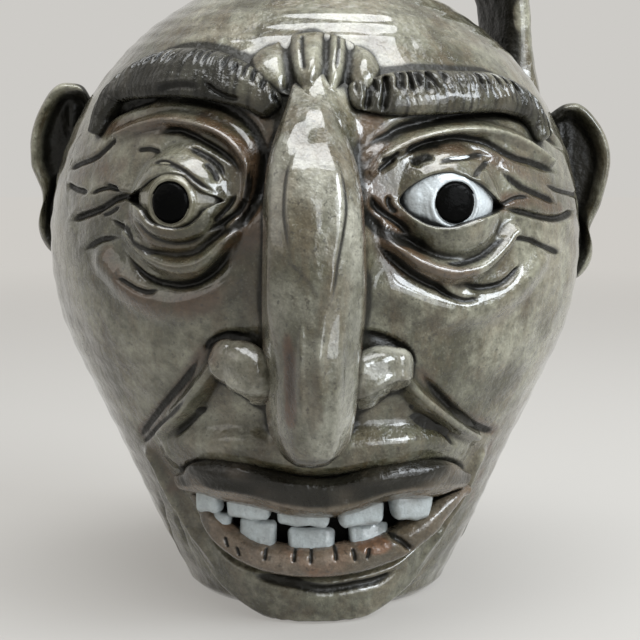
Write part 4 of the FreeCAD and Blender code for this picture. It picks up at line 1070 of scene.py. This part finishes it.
def add_handle():
    """The pulled strap handle with its shallow groove, from its foot on the shoulder over to the neck."""
    steps = lengths(HANDLE_STATIONS[:, :2])
    sine, cosine = math.sin(HANDLE_TURN), math.cos(HANDLE_TURN)

    def place(u, v):
        reach, height, lean, wide, thick = (np.interp(u * steps[-1], steps, values) for values in HANDLE_STATIONS.T)
        lean = np.radians(lean)
        closed = np.where((u <= 0) | (u >= 1), 0, 1)
        angle = v * 2 * math.pi
        x = power(np.cos(angle), 0.7) * wide * closed
        y = power(np.sin(angle), 0.75) * thick * closed
        outer = np.clip(np.sin(angle), 0, 1)
        groove = 1.9 * np.exp(-((x / wide) / 0.42) ** 2) - 0.7 * np.exp(-((np.abs(x / wide) - 0.62) / 0.2) ** 2)
        streak = 0.22 * np.sin(x * 1.9 + 0.6 * np.sin(u * 7)) + 0.3 * noise(x, u * 140, 6.0, 72)
        y = y - (groove + streak) * outer * closed
        out = reach + y * np.cos(lean)
        points = np.column_stack((out * sine + x * cosine, -out * cosine + x * sine, height + y * np.sin(lean)))
        # The groove is marked dark: pooled glaze and painted shade
        return points, {"line": 0.5 * np.clip(groove / 1.9, 0, 1) * outer, "brown": 0.25 * outer}
    return skin("strap_handle", 220, 96, place)


# The chart of the clay's height over the wall: its step and top, and past what height it is flattened
CHART_STEP = 0.8
CHART_TOP = 232
FLATTENED = 5


def blurred(grid, reach):
    """A chart averaged over a reach in both directions."""
    count = max(1, int(round(reach / CHART_STEP)))
    kernel = np.exp(-np.linspace(-1.6, 1.6, 2 * count + 1) ** 2)
    kernel /= kernel.sum()
    for axis in (0, 1):
        grid = np.apply_along_axis(lambda line: np.convolve(line, kernel, mode="same"), axis, grid)
    return grid


def pool_glaze(pieces):
    """Marks how deep each place lies below the clay round it, where the glaze pools and shade is painted dark, and how
    far it stands out.
    """
    half_round = math.pi * BELLY_RADIUS
    columns, rows = int(2 * half_round / CHART_STEP) + 2, int(CHART_TOP / CHART_STEP)
    top = np.full((rows, columns), -9.0)
    spans = []
    for piece in pieces:
        x, y, height = get_points(piece.data).T / MM
        out = np.hypot(x, y) - wall_radius(height)
        out = np.minimum(out, FLATTENED) + np.maximum(out - FLATTENED, 0) * 0.25
        arc = np.arctan2(x, -y) * BELLY_RADIUS
        column = np.clip(((arc + half_round) / CHART_STEP).astype(int), 0, columns - 1)
        row = np.clip((height / CHART_STEP).astype(int), 0, rows - 1)
        seen = (out > -4) & (height < SHOULDER)
        np.maximum.at(top, (row[seen], column[seen]), np.minimum(out[seen], 30))
        spans.append((piece.data, arc, height, out))
    known = (top > -8).astype(float)
    filled = np.where(known > 0, top, 0)
    levels = [blurred(filled, reach) / np.maximum(blurred(known, reach), 0.02) for reach in (2.2, 5.5)]
    for mesh, arc, height, out in spans:
        across = np.clip((arc + half_round) / CHART_STEP - 0.5, 0, columns - 1.001)
        up = np.clip(height / CHART_STEP - 0.5, 0, rows - 1.001)
        column, row = across.astype(int), up.astype(int)
        small, large = (between([[level[row + j, column + i] for i in (0, 1)] for j in (0, 1)],
                                across - column, up - row) for level in levels)
        # Places below the clay round them, in hollows and round tall pieces: pooled glaze and painted shade
        low = np.clip((small - out) / 1.1, 0, 1) * 0.65 + np.clip((large - out) / 3.6, 0, 1) * 0.6
        high = np.clip((out - small) / 0.8, 0, 1) * 0.6 + np.clip((out - large) / 3.0, 0, 1) * 0.4
        for mark, values in (("crevice", low), ("crest", high)):
            set_mark(mesh, mark, np.clip(values, 0, 1) * (height < SHOULDER - 4))


# --- Finishes ---

class Socket:
    """A shader socket whose maths is written as Python expressions."""

    def __init__(self, finish, output):
        self.finish, self.output = finish, output

    def _math(self, operation, first, second):
        return self.finish.node("ShaderNodeMath", {"operation": operation}, (first, second))

    def __add__(self, other):
        return self._math("ADD", self, other)

    __radd__ = __add__

    def __sub__(self, other):
        return self._math("SUBTRACT", self, other)

    def __rsub__(self, other):
        return self._math("SUBTRACT", other, self)

    def __mul__(self, other):
        return self._math("MULTIPLY", self, other)

    __rmul__ = __mul__


class Finish:
    """The node tree of a material or a world under construction."""

    def __init__(self, owner):
        owner.use_nodes = True
        self.tree = owner.node_tree
        self.tree.nodes.clear()

    def node(self, kind, settings=None, inputs=(), output=0):
        """Adds a node: its type, its settings, the values or links of its sockets, and which output to use."""
        node = self.tree.nodes.new(kind)
        for name, value in (settings or {}).items():
            setattr(node, name, value)
        for key, value in inputs.items() if isinstance(inputs, dict) else enumerate(inputs):
            if isinstance(value, Socket):
                self.tree.links.new(value.output, node.inputs[key])
            else:
                node.inputs[key].default_value = value
        return Socket(self, node.outputs[output]) if len(node.outputs) else None

    def mark(self, name):
        """Reads a mark of the piece's vertices."""
        return self.node("ShaderNodeAttribute", {"attribute_type": "GEOMETRY", "attribute_name": name}, output="Fac")

    def limit(self, value, low, high):
        """Rises from 0 at low to 1 at high, smoothly."""
        return self.node("ShaderNodeMapRange", {"interpolation_type": "SMOOTHSTEP"},
                         {"Value": value, "From Min": low, "From Max": high})

    def blend(self, share, first, second):
        """A colour mix."""
        return self.node("ShaderNodeMix", {"data_type": "RGBA"}, {0: share, 6: first, 7: second}, 2)

    def mottle(self, scale, detail, rough, spread, stretch=None):
        """Clouds in Object coordinates, at a scale per metre, from 0 to 1."""
        place = self.node("ShaderNodeTexCoord", output="Object")
        if stretch:
            place = self.node("ShaderNodeMapping", None, {"Vector": place, "Scale": stretch})
        cloud = self.node("ShaderNodeTexNoise", None,
                          {"Vector": place, "Scale": scale, "Detail": detail, "Roughness": rough})
        return self.limit(cloud, *spread)

    def bump(self, height, strength, distance, under=None):
        """A normal raised by a height, over another bump."""
        inputs = {"Height": height, "Strength": strength, "Distance": distance}
        return self.node("ShaderNodeBump", None, inputs | ({"Normal": under} if under else {}))

    def seen(self):
        """1 for rays that show the background: from the camera, off a gloss or through glass."""
        rays = [self.node("ShaderNodeLightPath", output=f"Is {kind} Ray")
                for kind in ("Camera", "Glossy", "Transmission")]
        return rays[0] + rays[1] + rays[2]


def shade(red, green, blue):
    """A colour written as it appears, in linear light."""
    return *(((level / 255 + 0.055) / 1.055) ** 2.4 if level > 10 else level / 255 / 12.92
             for level in (red, green, blue)), 1


# The near black of pooled glaze, and of the shade painted in hollows and lines
POOLED_AND_SHADED = shade(10, 10, 7)


def ash_glaze(name, base, thin, rust, crest_share, roughness, gloss, speckled=0.75, marked=True):
    """A wood-ash glaze that runs dark and green in the hollows, and breaks pale and brown where it is thin, with shade
    painted dark in its hollows, lines and dark marks.
    """
    material = bpy.data.materials.new(name)
    finish = Finish(material)
    base, thin, rust = (shade(*colour) for colour in (base, thin, rust))
    clouds = finish.mottle(55.0, 5.0, 0.68, (0.36, 0.64))
    patches = finish.mottle(17.0, 3.0, 0.6, (0.42, 0.60))
    runs = finish.mottle(110.0, 4.0, 0.65, (0.42, 0.62), (1.0, 1.0, 0.3))
    specks = finish.mottle(650.0, 3.0, 0.75, (0.585, 0.66))
    grain = finish.mottle(420.0, 4.0, 0.75, (0.34, 0.68))
    colour = finish.blend(clouds * 0.8, base, thin)
    colour = finish.blend(patches * (0.73 * speckled), colour, shade(52, 52, 36))
    colour = finish.blend(runs * (0.47 * speckled), colour, shade(88, 70, 48))
    dust = finish.mottle(1200.0, 2.0, 0.6, (0.58, 0.70))
    colour = finish.blend(dust * (0.22 * speckled), colour, shade(150, 148, 132))
    if marked:
        crest, crevice, line, brown, dark = (
            finish.mark(mark) for mark in ("crest", "crevice", "line", "brown", "dark"))
        colour = finish.blend(finish.limit(crest, 0.12, 0.8) * crest_share * (0.55 + clouds * 0.45), colour, thin)
        colour = finish.blend(finish.limit(brown * (0.55 + clouds * 0.9), 0.2, 0.85) * 0.8, colour, rust)
        # The dark mark: painted shade on the brows, the left one most, in the frown's hollows, on the nose's left side
        # and on the upper lip
        colour = finish.blend(finish.limit(dark + clouds * 0.1 - 0.05, 0.05, 0.9) * 0.96, colour, shade(18, 18, 14))
        # Crevices and lines: pooled glaze, and painted shade, in near black
        colour = finish.blend(finish.limit(crevice + clouds * 0.12, 0.22, 0.9) * 0.94, colour, POOLED_AND_SHADED)
        colour = finish.blend(finish.limit(line + clouds * 0.08, 0.12, 0.62) * 0.95, colour, POOLED_AND_SHADED)
    colour = finish.blend(grain * 0.5 * speckled, colour, shade(30, 28, 20))
    colour = finish.blend(specks * 0.8 * speckled, colour, shade(24, 20, 14))
    rough, coat = roughness + clouds * 0.06 + specks * 0.12, gloss
    if marked:
        hollow = finish.limit(crevice + line, 0.2, 0.8)
        rough = rough + hollow * 0.22
        coat = (1 - hollow * 0.9) * (1 - dark * 0.8) * gloss
    normal = finish.bump(grain * 0.5 + clouds * 0.5, 0.16, 0.0006)
    waves = finish.mottle(230.0, 3.0, 0.55, (0.2, 0.8))
    normal = finish.bump(waves, 0.45 if marked else 0.12, 0.0012, normal)
    normal = finish.bump(specks, 0.10, 0.0002, normal)
    shader = finish.node("ShaderNodeBsdfPrincipled", None, {
        "Base Color": colour, "Roughness": rough, "Normal": normal, "Coat Weight": coat, "Coat Roughness": 0.05,
        "Specular IOR Level": 0.25 if marked else 0.03})
    finish.node("ShaderNodeOutputMaterial", None, {"Surface": shader})
    return material


# Glazes: the colour, the colours where it is thin and where it rusts, how much its crests break, roughness and gloss
GLAZE = ash_glaze("wood ash glaze", (66, 63, 47), (150, 148, 130), (72, 50, 33), 0.6, 0.17, 0.9)
BALL_GLAZE = ash_glaze("white clay under glaze", (186, 192, 194), (214, 222, 226), (110, 80, 56), 0.2, 0.18, 0.8, 0.2)
TOOTH_GLAZE = ash_glaze("white clay of the teeth", (156, 162, 162), (190, 199, 202), (110, 88, 66), 0.2, 0.22, 0.8, 0.3)
# Near black: the real glaze of the pupils, and painted shade for the bed of the mouth
DARK_GLAZE_AND_SHADE = ash_glaze("dark glaze and painted shade", (5, 5, 5), (9, 9, 8), (9, 8, 6), 0.1, 0.14, 0.0, 0.0, False)
# A darker copy of the white clay for the left ball: painted shade
SHADED_BALL_GLAZE = ash_glaze("white clay painted in shade", (120, 116, 98), (158, 154, 136), (96, 72, 50), 0.2, 0.2, 0.8, 0.3)
# A lighter copy of the glaze for the nose and its wings: painted light
LIT_NOSE_GLAZE = ash_glaze("nose glaze painted light", (88, 85, 70), (170, 168, 154), (84, 56, 37), 0.6, 0.17, 0.9)
LIP_GLAZE = ash_glaze("thin glaze on the lip", (104, 92, 80), (142, 130, 116), (112, 80, 58), 0.5, 0.2, 0.7)

pieces = []


def glaze(piece, material, slot, *nodes):
    """Gives a piece its glaze, puts it under the root and hides the CAD nodes that it stands for."""
    piece.data.materials.append(material)
    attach(piece, "root")
    for node in nodes:
        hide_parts(node)
    pieces.append(piece)


glaze(add_jug(), GLAZE, "ash_glaze", "jug_body")
for side in SIDES:
    surround = eye_surround(f"{side}_lids_and_folds", EYE_CENTRES[side], OPENINGS[side], SURROUNDS[side])
    glaze(surround, GLAZE, "ash_glaze",
          *(f"{side}_{level}_{part}" for part in ("lid", "fold") for level in ("upper", "lower")))
    # The left ball takes the white clay painted in shade
    glaze(add_eyeball(side), SHADED_BALL_GLAZE if side == "left" else BALL_GLAZE, "white_clay",
          f"{side}_eyeball", f"{side}_pupil")
    pieces[-1].data.materials.append(DARK_GLAZE_AND_SHADE)
    glaze(add_brow(side), GLAZE, "ash_glaze", f"{side}_brow")
    glaze(add_wing(side), LIT_NOSE_GLAZE, "ash_glaze", f"{side}_nose_wing")
    fold = f"{side}_smile_fold"
    glaze(field_piece(f"{side}_fold_of_the_cheek", FIELD_STRIPS[fold], 150, 60), GLAZE, "ash_glaze", fold)
    glaze(add_ear(side), GLAZE, "ash_glaze", f"{side}_ear")
glaze(add_crest(), GLAZE, "ash_glaze", "frown_crest")
glaze(add_nose(), LIT_NOSE_GLAZE, "ash_glaze", "nose")
glaze(field_piece("muzzle_swell", FIELD_STRIPS["muzzle"], 260, 80), GLAZE, "ash_glaze", "muzzle")
glaze(field_piece("chin_swell", FIELD_STRIPS["chin"], 170, 60), GLAZE, "ash_glaze", "chin")
glaze(add_lip("upper_lip_roll", UPPER_LIP, 65, True), LIP_GLAZE, "ash_glaze", "upper_lip")
glaze(add_lip("lower_lip_roll", LOWER_LIP, 71, False), LIP_GLAZE, "ash_glaze", "lower_lip")
glaze(add_handle(), GLAZE, "ash_glaze", "handle")
# The last upper tooth is pointed, and the last lower one is small and stands for no node
for row, teeth, lift, seed, pointed, count in (
        ("upper", UPPER_TEETH, 6.0, 0, 5, 5), ("lower", LOWER_TEETH, 5.4, 10, 0, 3)):
    for number, tooth in enumerate(teeth, start=1):
        nodes = [f"{row}_tooth_{number}"] if number <= count else []
        glaze(add_tooth(f"{row}_row_tooth_{number}", *tooth, lift, number == pointed, number + seed),
              TOOTH_GLAZE, "white_clay", *nodes)
glaze(add_mouth(), DARK_GLAZE_AND_SHADE, "dark_glaze", "mouth_bed")
pool_glaze(pieces)


# --- Studio ---

FLOOR_RADIUS = 9.0
AIM_HEIGHT = 0.12


def add_floor():
    """A wide pale floor."""
    clay = bmesh.new()
    bmesh.ops.create_circle(clay, cap_ends=True, cap_tris=True, segments=96, radius=FLOOR_RADIUS)
    mesh = bpy.data.meshes.new("floor")
    clay.to_mesh(mesh)
    clay.free()
    material = bpy.data.materials.new("pale paper")
    finish = Finish(material)
    paper = finish.node("ShaderNodeBsdfDiffuse", None, {"Color": shade(176, 174, 170)})
    glow = finish.node("ShaderNodeEmission", None, {"Color": shade(206, 203, 198)})
    place = finish.node("ShaderNodeTexCoord", output="Object")
    far = finish.limit(finish.node("ShaderNodeVectorMath", {"operation": "LENGTH"}, (place,), "Value"), 0.25, 1.6)
    mixed = finish.node("ShaderNodeMixShader", None, (finish.seen() * (0.5 + far * 0.5), paper, glow))
    finish.node("ShaderNodeOutputMaterial", None, {"Surface": mixed})
    mesh.materials.append(material)
    stand("floor", mesh)


def add_light(name, azimuth, elevation, distance, size, energy, colour):
    """A soft box that faces the jug's middle."""
    data = bpy.data.lights.new(name, "AREA")
    data.shape = "RECTANGLE"
    data.size, data.size_y = size
    data.energy = energy
    data.color = colour
    light = stand(name, data)
    turn, rise = math.radians(azimuth), math.radians(elevation)
    light.location = (distance * math.sin(turn) * math.cos(rise), -distance * math.cos(turn) * math.cos(rise),
                      AIM_HEIGHT + distance * math.sin(rise))
    aim = mathutils.Vector((0, 0, AIM_HEIGHT)) - light.location
    light.rotation_euler = aim.to_track_quat("-Z", "Y").to_euler()


def add_world():
    """A pale room: half as bright in what it lights as in what it shows."""
    world = bpy.data.worlds.new("studio")
    finish = Finish(world)
    strength = finish.node("ShaderNodeMapRange", None, {"Value": finish.seen(), "To Min": 0.5, "To Max": 1.0})
    sky = finish.node("ShaderNodeBackground", None, {"Color": shade(205, 203, 199), "Strength": strength})
    finish.node("ShaderNodeOutputWorld", None, {"Surface": sky})
    bpy.context.scene.world = world


add_floor()
add_light("window", 62, 34, 1.3, (0.75, 0.5), 18, (0.88, 0.94, 1.0))
add_light("overhead", 20, 82, 1.3, (1.2, 0.8), 24, (0.96, 0.98, 1.0))
add_light("front_right", 40, 14, 1.5, (0.9, 1.1), 13, (0.92, 0.96, 1.0))
add_light("left_fill", -65, 25, 1.6, (0.8, 0.8), 2.5, (1.0, 0.97, 0.92))
add_world()
bpy.context.scene.view_settings.view_transform = "Standard"
